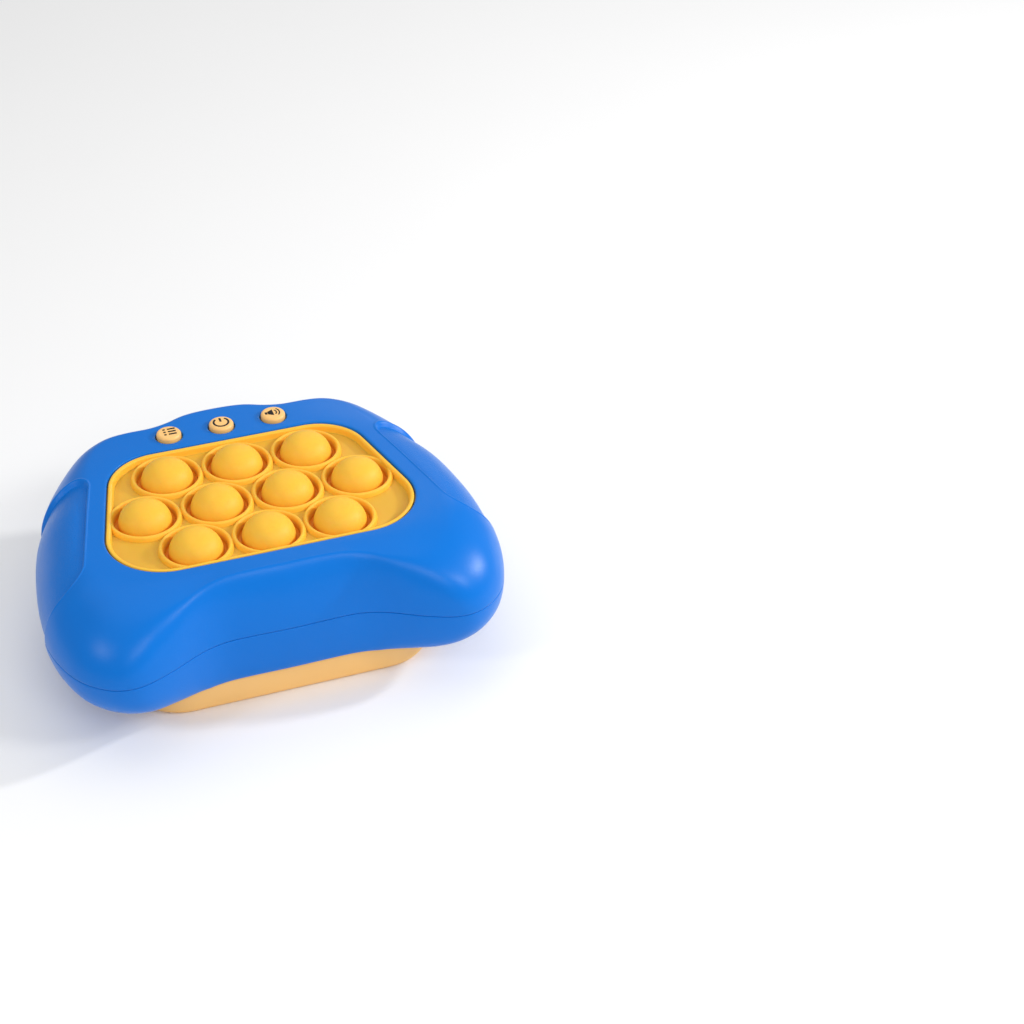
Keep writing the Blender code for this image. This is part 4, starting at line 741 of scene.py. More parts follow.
# Reset plate: a drafted tray moulded in peach ABS, which the player pushes in to pop every
# bubble back up. Its flange catches on the rear shell's ledge at the sides and the back, and
# the battery compartment stands in its middle.
Z_PLATE_TOP = 18.7 * MM
Z_BOX = 3.4 * MM
Z_BOX_TOP = 14.5 * MM
DOOR_LEFT, DOOR_RIGHT, DOOR_HALF = -26.8 * MM, 33.3 * MM, 18.15 * MM
ROOM_LENGTH, ROOM_DEPTH = 25.3 * MM, 16.65 * MM
STAKE_PLACES = [(x * PITCH, y * PITCH) for x, y in ((1.30, 1.12), (1.62, -1.30))]
STAKE_PLACES += [(-x, y) for x, y in STAKE_PLACES]
DOOR_SCREW_PLACE = (29.3 * MM, 0.0)
Z_PUSHER = Z_PLATE_TOP - 0.2 * MM
Z_SHOULDER = 16.2 * MM
Z_PILOT = 11.6 * MM

PEACH = plain_finish(
    "moulded_peach", (0.97, 0.57, 0.19), (0.95, 0.545, 0.175), 0.38, 2200.0, 60.0, 0.3
)


def rectangle(left, right, half, grow, radius):
    """Points round a rectangle with round corners."""
    corners = ((right + grow, half + grow, radius), (left - grow, half + grow, radius))
    corners += ((left - grow, -half - grow, radius), (right + grow, -half - grow, radius))
    return round_corners(corners, steps=8)


def stacked(name, loops, finish, count=720):
    """A closed piece through plans at given heights, capped at both ends."""
    angles = np.arange(count) * 2 * np.pi / count
    rows = []
    for plan, height, extra in loops:
        radius = reach(plan, angles) + (extra(angles, plan) if extra else 0.0)
        x, y = np.cos(angles) * radius, np.sin(angles) * radius
        rows.append(np.stack([x, y, height + 0 * radius], -1))
    bm = opened(mesh_of_grid(name, np.array(rows)))
    bm.verts.ensure_lookup_table()
    bm.faces.new([bm.verts[i] for i in range(count)])
    bm.faces.new([bm.verts[(len(rows) - 1) * count + i] for i in range(count)])
    return finished(name, bm, finish)


def flange(angles, plan):
    """The flange's width: nothing along the front, where the case's wall stands close."""
    y = np.sin(angles) * reach(plan, angles)
    share = np.clip((y + PLATE_FRONT - 6 * MM) / (1.5 * MM), 0, 1)
    return 2.3 * MM * share


FLANGE_LOW, FLANGE_HIGH = 16.0 * MM, 17.5 * MM
FOOT_ROUND = 2.4 * MM
box = rectangle(DOOR_LEFT, DOOR_RIGHT, DOOR_HALF, 1.8 * MM, 1.5 * MM)
mouth = rectangle(DOOR_LEFT, DOOR_RIGHT, DOOR_HALF, GAP, 1.2 * MM)
mouth_edge = rectangle(DOOR_LEFT, DOOR_RIGHT, DOOR_HALF, GAP + 0.3 * MM, 1.5 * MM)
cells_room = rectangle(-ROOM_LENGTH, ROOM_LENGTH, ROOM_DEPTH, 0.0, 0.8 * MM)
loops = [(box, Z_BOX_TOP + 1.8 * MM, None), (box, 2 * MM, None)]
wall = [(-3.2 * MM, 2 * MM), (-2.0 * MM, Z_FLOOR), (-2.0 * MM, Z_PLATE_TOP - 0.3 * MM)]
wall += [(-1.7 * MM, Z_PLATE_TOP), (-0.3 * MM, Z_PLATE_TOP), (0.0, Z_PLATE_TOP - 0.3 * MM)]
wall += [(0.0, FLANGE_HIGH)]
loops += [(plate(grow), height, None) for grow, height in wall]
loops += [(plate(), FLANGE_HIGH, flange), (plate(), FLANGE_LOW, flange)]
loops += [(plate(), FLANGE_LOW, None), (plate(), Z_FLOOR, None)]
for turn in np.radians((0, 15, 30, 45, 60, 75, 90)):
    in_by = 1.0 * MM + FOOT_ROUND * (1 - math.cos(turn))
    loops.append((plate(-in_by), FOOT_ROUND * (1 - math.sin(turn)), None))
loops += [(mouth_edge, 0.0, None), (mouth, 0.3 * MM, None), (mouth, Z_BOX, None)]
loops += [(cells_room, Z_BOX, None), (cells_room, Z_BOX_TOP, None)]
tray = stacked("reset_tray", loops, PEACH)
pilot = ((0.0, Z_BOX - MM), (PILOT, Z_BOX - MM), (PILOT, Z_PILOT), (0.0, Z_PILOT))
tray = cut_away(tray, turned("pilot", pilot, DOOR_SCREW_PLACE, 24, None))
post = [(0.0, Z_PUSHER + 0.8 * MM), (1.0 * MM, Z_PUSHER + 0.8 * MM)]
post += [(1.2 * MM, Z_PUSHER + 0.6 * MM), (1.2 * MM, Z_SHOULDER), (3.2 * MM, Z_SHOULDER)]
post += [(3.2 * MM, 1.5 * MM), (0.0, 1.5 * MM)]
posts = [turned(f"post_{k}", post, at, 32, PEACH) for k, at in enumerate(STAKE_PLACES)]
tray = put_together([tray, *posts], "reset_tray", PEACH)
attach(tray, "reset")
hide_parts("reset_plate")


# Batteries: three AAA cells, each a steel can in a dark plastic sleeve with a copper end. They
# lie in turn one way and the other between sprung strips of nickelled steel.
Z_CELL = 8.95 * MM
CELL_LENGTH = 43.4 * MM
CELL_RADIUS = 5.25 * MM
CELL_SPACING = 11.1 * MM


def lay_over(finish, share, colour):
    """Lays a colour over what a finish has, by a share from 0 to 1."""
    tree = finish.node_tree
    base = tree.nodes["Principled BSDF"].inputs["Base Color"]
    tree.links.new(over(tree, share, base.links[0].from_socket, colour), base)


def kept_share(finish, name):
    """The value kept for each point under a name."""
    return wire(finish.node_tree, "ShaderNodeAttribute", attribute_name=name).outputs["Fac"]


def cell_finish():
    """A dark sleeve that ends in bare copper towards the nub."""
    made = plain_finish(
        "cell_jacket", (0.03, 0.03, 0.035), (0.05, 0.05, 0.055), 0.33, 1500.0, 80.0, 0.15
    )
    tree = made.node_tree
    copper = maths(tree, "GREATER_THAN", kept_share(made, "band"), 0.5)
    lay_over(made, copper, (0.62, 0.34, 0.16))
    tree.links.new(copper, tree.nodes["Principled BSDF"].inputs["Metallic"])
    return made


CELL_JACKET = cell_finish()
STEEL = plain_finish(
    "bright_steel", (0.56, 0.56, 0.57), (0.5, 0.5, 0.52), 0.3, 900.0, 200.0, 0.1, 0.1, Metallic=1.0
)

half = CELL_LENGTH / 2
outline = [(0.0, half + MM)] + arc((1.6 * MM, half + 0.7 * MM), 0.3 * MM, 90, 0, 4)
outline += [(1.9 * MM, half), (4.6 * MM, half)]
outline += arc((4.75 * MM, half - 0.5 * MM), 0.5 * MM, 90, 0, 5)
outline += [(CELL_RADIUS, half * 0.55), (CELL_RADIUS, half * 0.5)]
outline += arc((4.75 * MM, -half + 0.5 * MM), 0.5 * MM, 0, -90, 5) + [(0.0, -half)]
for number in (1, 2, 3):
    row = number - 2
    way = -1 if row == 0 else 1
    cell = turned(f"cell_{number}", outline, (0.0, 0.0), 64, CELL_JACKET)
    mark(cell.data, "band", [v.co.z > half * 0.52 for v in cell.data.vertices])
    turn = Matrix.Rotation(way * math.pi / 2, 4, "Y")
    cell.data.transform(Matrix.Translation((0.0, row * CELL_SPACING, Z_CELL)) @ turn)
    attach(cell, "reset")
    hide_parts(f"battery_cell_{number}")


def refinish(node, finish):
    """Gives a CAD node a better finish."""
    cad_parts[node].material_slots[0].material = finish


refinish("battery_contact_left", STEEL)
refinish("battery_contact_right", STEEL)


# Battery door: a flat lid under the tray, flush with its bottom, with a few finger grooves and
# a sunk seat for its one screw.
door_plan = rectangle(DOOR_LEFT, DOOR_RIGHT, DOOR_HALF, 0.0, 1.1 * MM)
door_edge = rectangle(DOOR_LEFT, DOOR_RIGHT, DOOR_HALF, -0.35 * MM, 0.8 * MM)
loops = [(door_edge, 0.0, None), (door_plan, 0.35 * MM, None)]
loops += [(door_plan, 2.9 * MM, None), (door_edge, 3.1 * MM, None)]
door = stacked("battery_lid", loops, PEACH, 360)
sink = [(0.0, -MM), (3.4 * MM, -MM), (3.4 * MM, 0.0), (2.8 * MM, 0.5 * MM), (2.8 * MM, 2.2 * MM)]
sink += [(PILOT, 2.2 * MM), (PILOT, 4.0 * MM), (0.0, 4.0 * MM)]
door = cut_away(door, turned("door_seat", sink, DOOR_SCREW_PLACE, 48, None))
groove_size = (1.1 * MM, 16 * MM, 1.4 * MM)
grooves = slots("grooves", 6, (-23.5 * MM, 0.0, 0.0), (2.2 * MM, 0, 0), groove_size)
door = cut_away(door, grooves)
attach(door, "reset")
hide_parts("battery_door")


# Pusher frame and return springs: a white plate staked onto the tray, with two fingers under
# each bubble, and four coils of spring steel that push the tray back out.
WHITE = plain_finish(
    "white_moulding", (0.78, 0.78, 0.76), (0.72, 0.72, 0.7), 0.45, 2000.0, 70.0, 0.25
)
refinish("pusher_frame", WHITE)
SPRING_LOW, SPRING_HIGH = 18.8 * MM, 34.1 * MM
SPRING_PLACES = [(x * PITCH, y * PITCH) for x, y in ((1.60, 0.73), (1.79, -0.81))]
SPRING_PLACES += [(-x, y) for x, y in SPRING_PLACES]


def swept_coil(tree, coil, section):
    """A round section swept along a coil, closed at both ends."""
    coil = wire(tree, "GeometryNodeCurveSpiral", coil)
    section = wire(tree, "GeometryNodeCurvePrimitiveCircle", section)
    sweep = {"Curve": coil.outputs[0], "Profile Curve": section.outputs[0], "Fill Caps": True}
    return wire(tree, "GeometryNodeCurveToMesh", sweep).outputs["Mesh"]


def spring_tree():
    """A coil of round wire at each of the object's points."""
    inputs = {"Places": "Geometry", "Turns": "Float", "Coil Radius": "Float", "Length": "Float"}
    inputs |= {"Wire Radius": "Float", "Finish": "Material"}
    tree, given = new_tree("coil_springs", "Geometry", inputs, {"Geometry": "Geometry"})
    coil = {"Resolution": 26, "Rotations": given["Turns"], "Height": given["Length"]}
    coil |= {"Start Radius": given["Coil Radius"], "End Radius": given["Coil Radius"]}
    coiled = swept_coil(tree, coil, {"Resolution": 10, "Radius": given["Wire Radius"]})
    copied(tree, given["Places"], coiled, given["Finish"])
    return tree


def on_points(name, tree, places, height, values, finish):
    """The tree's piece at each place, as one plain mesh."""
    mesh = bpy.data.meshes.new(name)
    mesh.from_pydata([(x, y, height) for x, y in places], [], [])
    return grown(name, mesh, tree, {**values, "Finish": finish}, finish)


rest = SPRING_HIGH - SPRING_LOW
coil = {"Turns": 4.5, "Coil Radius": 3.8 * MM, "Length": rest - 0.7 * MM, "Wire Radius": 0.35 * MM}
low_end = SPRING_LOW + 0.35 * MM
springs = on_points("return_springs", spring_tree(), SPRING_PLACES, low_end, coil, STEEL)
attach(springs, "casing")
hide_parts(*(f"return_spring_{k}" for k in (1, 2, 3, 4)))
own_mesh(springs)


# Circuit boards and light frame: green glass-fibre boards with copper tracks under lacquer,
# carrying switches and lamps, and the white frame that spreads each lamp's light.
Z_BOARD = 34.4 * MM
Z_SWITCHES = 36.2 * MM
Z_FRAME_TOP = 50.7 * MM


def board_finish():
    """Green lacquer over tracks, and black switch bodies above the board's face."""
    made = plain_finish(
        "lacquered_board", (0.012, 0.19, 0.07), (0.01, 0.15, 0.055), 0.35, 1200.0, 150.0, 0.1
    )
    tree = made.node_tree
    coords = wire(tree, "ShaderNodeTexCoord").outputs["Object"]
    bricks = {"Vector": coords, "Scale": 160.0, "Mortar Size": 0.035}
    tracks = wire(tree, "ShaderNodeTexBrick", bricks).outputs["Fac"]
    lay_over(made, tracks, (0.06, 0.36, 0.12))
    normal = wire(tree, "ShaderNodeNewGeometry").outputs["Normal"]
    height, facing = (
        wire(tree, "ShaderNodeSeparateXYZ", {0: way}).outputs["Z"] for way in (coords, normal)
    )
    high = maths(tree, "GREATER_THAN", height, Z_SWITCHES)
    side = maths(tree, "GREATER_THAN", facing, -0.5)
    lay_over(made, maths(tree, "MULTIPLY", high, side), (0.03, 0.03, 0.03))
    return made


BOARD = board_finish()
refinish("circuit_board", BOARD)
refinish("key_board", BOARD)
refinish("light_frame", WHITE)


# Bubble sheet: one piece of yellow silicone in the case's window, with a soft ring round every
# bubble and a lip along its edge. The rings of neighbours run into each other. Its flange is
# clamped between the front shell and the light frame.
Z_SHEET = 52.5 * MM
Z_SHEET_UNDER = 51.0 * MM
RING_HEIGHT = 2.3 * MM
BUBBLE_HEIGHT = 7.7 * MM
BUBBLES = [
    ((column - (count - 1) / 2) * PITCH, row * ROW_SPACING)
    for row, count in ((1, 3), (0, 4), (-1, 3))
    for column in range(count)
]


def silicone_finish():
    """Matte silicone that light enters a little, with painted shade in the grooves round the bubbles and on
    the floor between the rings.
    """
    made = plain_finish(
        "pop_silicone", (0.95, 0.53, 0.048), (0.935, 0.505, 0.042), 0.5, 1700.0, 70.0, 0.2, 0.3,
        Subsurface_Weight=0.3, Subsurface_Radius=(1.0, 0.45, 0.12), Subsurface_Scale=1.6 * MM,
        Specular_IOR_Level=0.3
    )
    # Painted shade: the sheet's floor between the rings is darker.
    lay_over(made, kept_share(made, "floor_shade"), (0.5, 0.3, 0.035))
    # Painted shade: deep in the grooves and at the domes' feet the colour turns a darker orange.
    lay_over(made, kept_share(made, "groove_shade"), (0.82, 0.25, 0.0))
    return made


SILICONE = silicone_finish()
LIP_HEIGHT = 3.1 * MM
GROOVE_DEPTH = 1.2 * MM
RING_MIDDLE = 12.1 * MM
RING_HALF = 1.1 * MM
DOME_RADIUS = 9.65 * MM
DOME_FULLNESS = 2.35
DOME_CENTRE = Z_SHEET + BUBBLE_HEIGHT - DOME_RADIUS
SHEET_PLAN = window(-1.6 * MM)
SHEET_ANGLE = 60.0


def soft_most(a, b, blend):
    """The larger of two heights, run together over a blend."""
    near = np.maximum(blend - np.abs(a - b), 0) / blend
    return np.maximum(a, b) + near**2 * blend / 4


def sheet_height(points):
    """The sheet's upper side: a floor, with a groove round each bubble inside its ring."""
    radii = np.array([np.linalg.norm(points - np.array(centre), axis=1) for centre in BUBBLES])
    height = np.zeros(len(points))
    for radius in radii:
        share = np.clip((radius - RING_MIDDLE) / RING_HALF, 0, 1)
        height = soft_most(height, RING_HEIGHT * (1 - share**2.3) ** 0.5, 0.5 * MM)
    nearest = radii.min(axis=0)
    share = np.clip((RING_MIDDLE - nearest) / RING_HALF, 0, 1)
    ring = (RING_HEIGHT + GROOVE_DEPTH) * (1 - share**2.3) ** 0.5 - GROOVE_DEPTH
    groove = soft_most(np.full(len(points), -GROOVE_DEPTH), ring, 0.5 * MM)
    return np.where(nearest < RING_MIDDLE, groove, height)


def cell_rays(number):
    """Angles and lengths of the rays from one bubble to the edge of its share of the sheet."""
    here = np.array(BUBBLES[number])
    others = [np.array(c) - here for k, c in enumerate(BUBBLES) if k != number]
    others = [way for way in others if np.linalg.norm(way) < 1.1 * PITCH]

    def length(angles):
        ends = reach(SHEET_PLAN, angles, here)
        for way in others:
            across = np.cos(angles - math.atan2(way[1], way[0]))
            far = np.linalg.norm(way) / 2 / np.maximum(across, 1e-6)
            ends = np.minimum(ends, far)
        return ends

    # Each end of an edge shared with a neighbour gets a ray, and rays too near it are left out.
    angles = np.radians(np.arange(0, 360, 2.5))
    extra = []
    for way in others:
        middle = here + way / 2
        along = np.array((-way[1], way[0])) / np.linalg.norm(way)
        for sign in (-1, 1):
            steps = np.linspace(0, 60 * MM, 12001)
            line = middle + sign * steps[:, None] * along - here
            turn = np.arctan2(line[:, 1], line[:, 0])
            inside = np.hypot(line[:, 0], line[:, 1]) <= length(turn) + 1e-7
            last = np.nonzero(inside)[0][-1]
            at_rim = reach(SHEET_PLAN, turn[last], here) - np.hypot(*line[last])
            if at_rim < 0.02 * MM:
                extra.append(turn[last] % (2 * np.pi))
    for turn in extra:
        apart = np.abs((angles - turn + np.pi) % (2 * np.pi) - np.pi)
        angles = angles[apart > math.radians(1.1)]
    angles = np.sort(np.concatenate([angles, extra]))
    return here, angles, length(angles)


def groove_shade_share(height, radius):
    """How far down in a bubble's groove a point lies, which sets the painted shade there."""
    share = np.clip((Z_SHEET + 1.2 * MM - height) / (2.2 * MM), 0, 1)
    return share * (radius < RING_MIDDLE)


def sheet_cells():
    """Each bubble's share of the sheet as rays and stations, welded along the shared edges."""
    bm = bmesh.new()
    ring = [DOME_RADIUS - 0.3 * MM] + [r * MM for r in (9.9, 10.4, 10.8, 11.1)]
    ring += [RING_MIDDLE - RING_HALF * math.cos(math.radians(a)) for a in range(0, 121, 12)]
    # Steps outwards from the ring, closest at its foot, where the sheet bends most.
    near = (0.05, 0.12, 0.2, 0.3, 0.4, 0.5, 0.6, 0.75, 0.95, 1.3, 1.8)
    for number in range(len(BUBBLES)):
        here, angles, ends = cell_rays(number)
        base = ring[-1]
        spare = ends - base
        stations = [np.full_like(ends, r) for r in ring]
        for k, step in enumerate(near):
            stations.append(base + np.minimum(step * MM, spare * (k + 1) / (len(near) + 5)))
        last = stations[-1]
        stations += [last + (ends - last) * share for share in (0.25, 0.5, 0.75, 1.0)]
        radii = np.array(stations)
        plan = here + np.stack([np.cos(angles) * radii, np.sin(angles) * radii], -1)
        heights = Z_SHEET + sheet_height(plan.reshape(-1, 2)).reshape(radii.shape)
        grid = np.concatenate([plan, heights[..., None]], -1)
        lower = grid[[0, -1]].copy()
        lower[..., 2] = Z_SHEET_UNDER
        at_rim = reach(SHEET_PLAN, angles, here) - ends < 0.025 * MM
        rows = [[bm.verts.new(p) for p in row] for row in grid]
        low = [[bm.verts.new(p) for p in row] for row in lower]
        for i in range(len(angles)):
            j = (i + 1) % len(angles)
            for a, b in zip([low[0], *rows], rows):
                bm.faces.new((a[i], a[j], b[j], b[i]))
            bm.faces.new((low[0][i], low[1][i], low[1][j], low[0][j]))
            if at_rim[i] and at_rim[j]:
                bm.faces.new((rows[-1][i], rows[-1][j], low[1][j], low[1][i]))
    bmesh.ops.remove_doubles(bm, verts=bm.verts, dist=0.004 * MM)
    return finished("cells", bm, SILICONE, SHEET_ANGLE)


def sheet_edge():
    """The sheet's lip, with a soft top and a fillet at its foot, and its flange.

    Where a ring runs into the lip, the fillet stays inside the ring, so that the groove goes
    all round.
    """
    top = Z_SHEET + LIP_HEIGHT
    line = [(-0.5 * MM, Z_SHEET_UNDER), (2.4 * MM, Z_SHEET_UNDER), (2.4 * MM, 53.3 * MM)]
    line += [(-0.5 * MM, 53.3 * MM)] + arc((-1.0 * MM, top - 0.5 * MM), 0.5 * MM, 0, 90, 6)
    line += arc((-1.2 * MM, top - 0.95 * MM), 0.95 * MM, 90, 172, 10)
    line += arc((-3.3 * MM, Z_SHEET + 0.95 * MM), 1.0 * MM, -5, -88, 8)
    line += [(-3.4 * MM, Z_SHEET - 0.6 * MM), (-1.8 * MM, Z_SHEET_UNDER + 0.2 * MM)]
    sides = np.linalg.norm(np.roll(window(), -1, axis=0) - window(), axis=1)
    steps = np.maximum(np.round(sides / MM), 1).astype(int)
    rows = []
    for grow, height in line:
        plan = window(grow)
        ends = np.roll(plan, -1, axis=0)
        plan = [np.linspace(a, b, n, endpoint=False) for a, b, n in zip(plan, ends, steps)]
        rows.append(np.insert(np.concatenate(plan), 2, height, axis=1))
    rows = np.array(rows)
    nearest = RING_MIDDLE - 0.75 * MM
    for centre in BUBBLES:
        radius = np.linalg.norm(rows[..., :2] - centre, axis=-1)
        low = (rows[..., 2] < Z_SHEET + MM) & (radius < nearest)
        outwards = (rows[low][:, :2] - centre) / radius[low][:, None]
        rows[low, :2] = centre + outwards * nearest
    bm = opened(mesh_of_grid("edge", rows, wrap_rows=True))
    return finished("edge", bm, SILICONE, SHEET_ANGLE)


sheet = put_together([sheet_cells(), sheet_edge()], "pop_sheet", SILICONE, SHEET_ANGLE)
places = np.array([v.co for v in sheet.data.vertices])
radii = np.min([np.linalg.norm(places[:, :2] - centre, axis=1) for centre in BUBBLES], axis=0)
# Painted shade on the sheet's floor, outside the rings and low down.
floor_shade_share = np.clip((Z_SHEET + 0.6 * MM - places[:, 2]) / (0.5 * MM), 0, 1)
floor_shade_share *= radii > RING_MIDDLE
mark(sheet.data, "floor_shade", floor_shade_share)
mark(sheet.data, "groove_shade", groove_shade_share(places[:, 2], radii))
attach(sheet, "casing")
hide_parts("bubble_sheet")


# Pop bubbles: ten domes of the same silicone, a little thinner at the crown. A pushed dome
# turns inside out, so its crown follows the press and its rim stays with the sheet.
def dome_rise(off, radius=DOME_RADIUS):
    """Height over the dome's centre, a little fuller than a ball's."""
    return radius * (1 - min(off / radius, 1) ** DOME_FULLNESS) ** (1 / DOME_FULLNESS)


def dome_side(radius, foot, steps):
    """One side of a dome from crown to foot."""
    line = []
    for k in range(steps + 1):
        off = radius * math.sin(math.pi / 2 * k / steps)
        line.append((off, DOME_CENTRE + max(dome_rise(off, radius), foot - DOME_CENTRE)))
    return line


def bubble_profile():
    """The outer side from crown to foot, the skirt, and the inner side back up."""
    outer = dome_side(DOME_RADIUS, Z_SHEET - GROOVE_DEPTH, 26)
    inner = dome_side(DOME_RADIUS - 1.1 * MM, Z_SHEET_UNDER, 18)
    return outer + [(DOME_RADIUS, Z_SHEET_UNDER)] + inner[::-1]


for number, place in enumerate(BUBBLES, 1):
    name = f"bubble_{number:02d}"
    dome = turned(f"dome_{number:02d}", bubble_profile(), place, 96, SILICONE)
    top = Vector((*place, Z_SHEET + BUBBLE_HEIGHT))
    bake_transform(dome, "casing", name, (*place, Z_SHEET), top)
    foot = Z_SHEET - GROOVE_DEPTH
    shares = []
    for vertex in dome.data.vertices:
        off = min((vertex.co.xy - top.xy).length, DOME_RADIUS)
        rise = DOME_CENTRE + dome_rise(off) - foot
        shares.append(max(rise / (top.z - foot), 0.0))
    dome.data.attributes["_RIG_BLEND"].data.foreach_set("value", shares)
    # Painted shade low on each dome, where it meets the groove.
    heights = np.array([v.co.z for v in dome.data.vertices])
    mark(dome.data, "groove_shade", groove_shade_share(heights, 0.0 * heights))
    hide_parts(name)


# Keys: three round peach caps with a soft edge, held under the shell by a flange. Black ink
# prints a list, a power mark and a loudspeaker on them.
KEY_SPACING = 19.9 * MM
KEY_RADIUS = 4.6 * MM
KEY_GAP = 0.45 * MM
Z_CAP = Z_TOP + 1.8 * MM
Z_CEILING = Z_TOP - WALL
KEY_PLACES = {"menu": (-KEY_SPACING, KEY_Y), "power": (0.0, KEY_Y), "sound": (KEY_SPACING, KEY_Y)}
INK = plain_finish(
    "black_ink", (0.006, 0.004, 0.004), (0.01, 0.007, 0.007), 0.6, 3000.0, 300.0, 0.1, 0.05,
    Specular_IOR_Level=0.15
)


def key_profile():
    """A slightly crowned cap, its flange and its stem."""
    under = Z_CEILING - GAP
    outline = [(r * MM, Z_CAP - 0.05 * MM * (r / 3.6) ** 2) for r in (0, 1.2, 2.4, 3.6)]
    outline += arc((KEY_RADIUS - 1.15 * MM, Z_CAP - 1.2 * MM), 1.15 * MM, 84, 0, 8)
    outline += [(KEY_RADIUS, under), (5.85 * MM, under), (5.85 * MM, under - 1.2 * MM)]
    foot = under - 3.6 * MM
    outline += [(1.6 * MM, under - 1.2 * MM), (1.6 * MM, foot), (0.0, foot)]
    return outline


INK_LOW, INK_HIGH = -0.1 * MM, 0.02 * MM


def ink_shape(bm, outline):
    """A printed shape with straight sides."""
    low, high = (
        [bm.verts.new((x * MM, y * MM, z)) for x, y in outline] for z in (INK_LOW, INK_HIGH)
    )
    for i in range(len(outline)):
        j = (i + 1) % len(outline)
        bm.faces.new((low[i], low[j], high[j], high[i]))
    bm.faces.new(low)
    bm.faces.new(high)


def ink_bar(bm, low, high):
    """A printed bar between two corners."""
    ink_shape(bm, (low, (high[0], low[1]), high, (low[0], high[1])))


def ink_arc(bm, centre, radius, width, start, end, steps=28):
    """A printed arc of even width, between two angles in degrees."""
    inner, outer = (radius - width / 2) * MM, (radius + width / 2) * MM
    middle = Vector((*centre, 0.0)) * MM
    rings = []
    for k in range(steps + 1):
        at = math.radians(start + (end - start) * k / steps)
        way = Vector((math.cos(at), math.sin(at), 0.0))
        ring = []
        for r, z in ((inner, INK_LOW), (outer, INK_LOW), (outer, INK_HIGH), (inner, INK_HIGH)):
            ring.append(bm.verts.new(middle + way * r + Vector((0.0, 0.0, z))))
        rings.append(ring)
    for a, b in zip(rings, rings[1:]):
        for i in range(4):
            bm.faces.new((a[i], a[(i + 1) % 4], b[(i + 1) % 4], b[i]))
    bm.faces.new(rings[0])
    bm.faces.new(rings[-1])


def key_mark(kind):
    """The ink on one key, round its middle."""
    bm = bmesh.new()
    if kind == "menu":
        for y in (1.9, 0.2, -1.5):
            ink_bar(bm, (-1.9, y - 0.42), (-1.0, y + 0.42))
            ink_bar(bm, (-0.2, y - 0.42), (2.75, y + 0.42))
    elif kind == "power":
        ink_arc(bm, (0.0, 0.0), 2.75, 0.75, 128, 412)
        ink_bar(bm, (-0.4, 0.3), (0.4, 2.75))
    else:
        ink_bar(bm, (-3.0, -0.75), (-2.1, 0.75))
        ink_shape(bm, ((-1.95, -0.85), (0.1, -2.0), (0.1, 2.0), (-1.95, 0.85)))
        ink_arc(bm, (-0.6, 0.0), 1.95, 0.5, -46, 46, 12)
        ink_arc(bm, (-0.6, 0.0), 3.1, 0.5, -44, 44, 14)
    return bm


for kind, place in KEY_PLACES.items():
    cap = turned(f"cap_{kind}", key_profile(), place, 72, PEACH)
    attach(cap, f"key_{kind}")
    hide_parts(f"key_{kind}")
    ink = finished(f"ink_{kind}", key_mark(kind), INK)
    ink.data.transform(Matrix.Translation((*place, Z_CAP)))
    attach(ink, f"key_{kind}")


# Front shell: the upper half of the case in the same blue ABS, with the window and three round
# key holes. Four bosses inside take the case screws that hold it to the rear shell.
front = shell("case_front", True, CASE_BLUE)
edge = KEY_RADIUS + KEY_GAP
hole = [(0.0, Z_CEILING - MM), (edge, Z_CEILING - MM), (edge, Z_TOP - 0.35 * MM)]
hole += [(edge + 0.08 * MM, Z_TOP - 0.12 * MM), (edge + 0.28 * MM, Z_TOP + 0.05 * MM)]
hole += [(edge + 0.28 * MM, Z_TOP + MM), (0.0, Z_TOP + MM)]
holes = [turned(f"key_hole_{kind}", hole, place, 72, None) for kind, place in KEY_PLACES.items()]
front = cut_away(front, put_together(holes, "key_holes", None), SHELL_ANGLE)
bosses = [front]
for k, place in enumerate(CASE_SCREW_PLACES):
    rise = Z_TOP - 5.0 * MM if place[1] > 0 else Z_TOP - 7.5 * MM
    tube = ((PILOT, Z_JOINT), (3.0 * MM, Z_JOINT), (3.0 * MM, rise), (PILOT, rise))
    bosses.append(turned(f"boss_{k}", tube, place, 32, CASE_BLUE, closed=True))
front = put_together(bosses, "case_front", CASE_BLUE, SHELL_ANGLE)
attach(front, "casing")
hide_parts("front_shell")


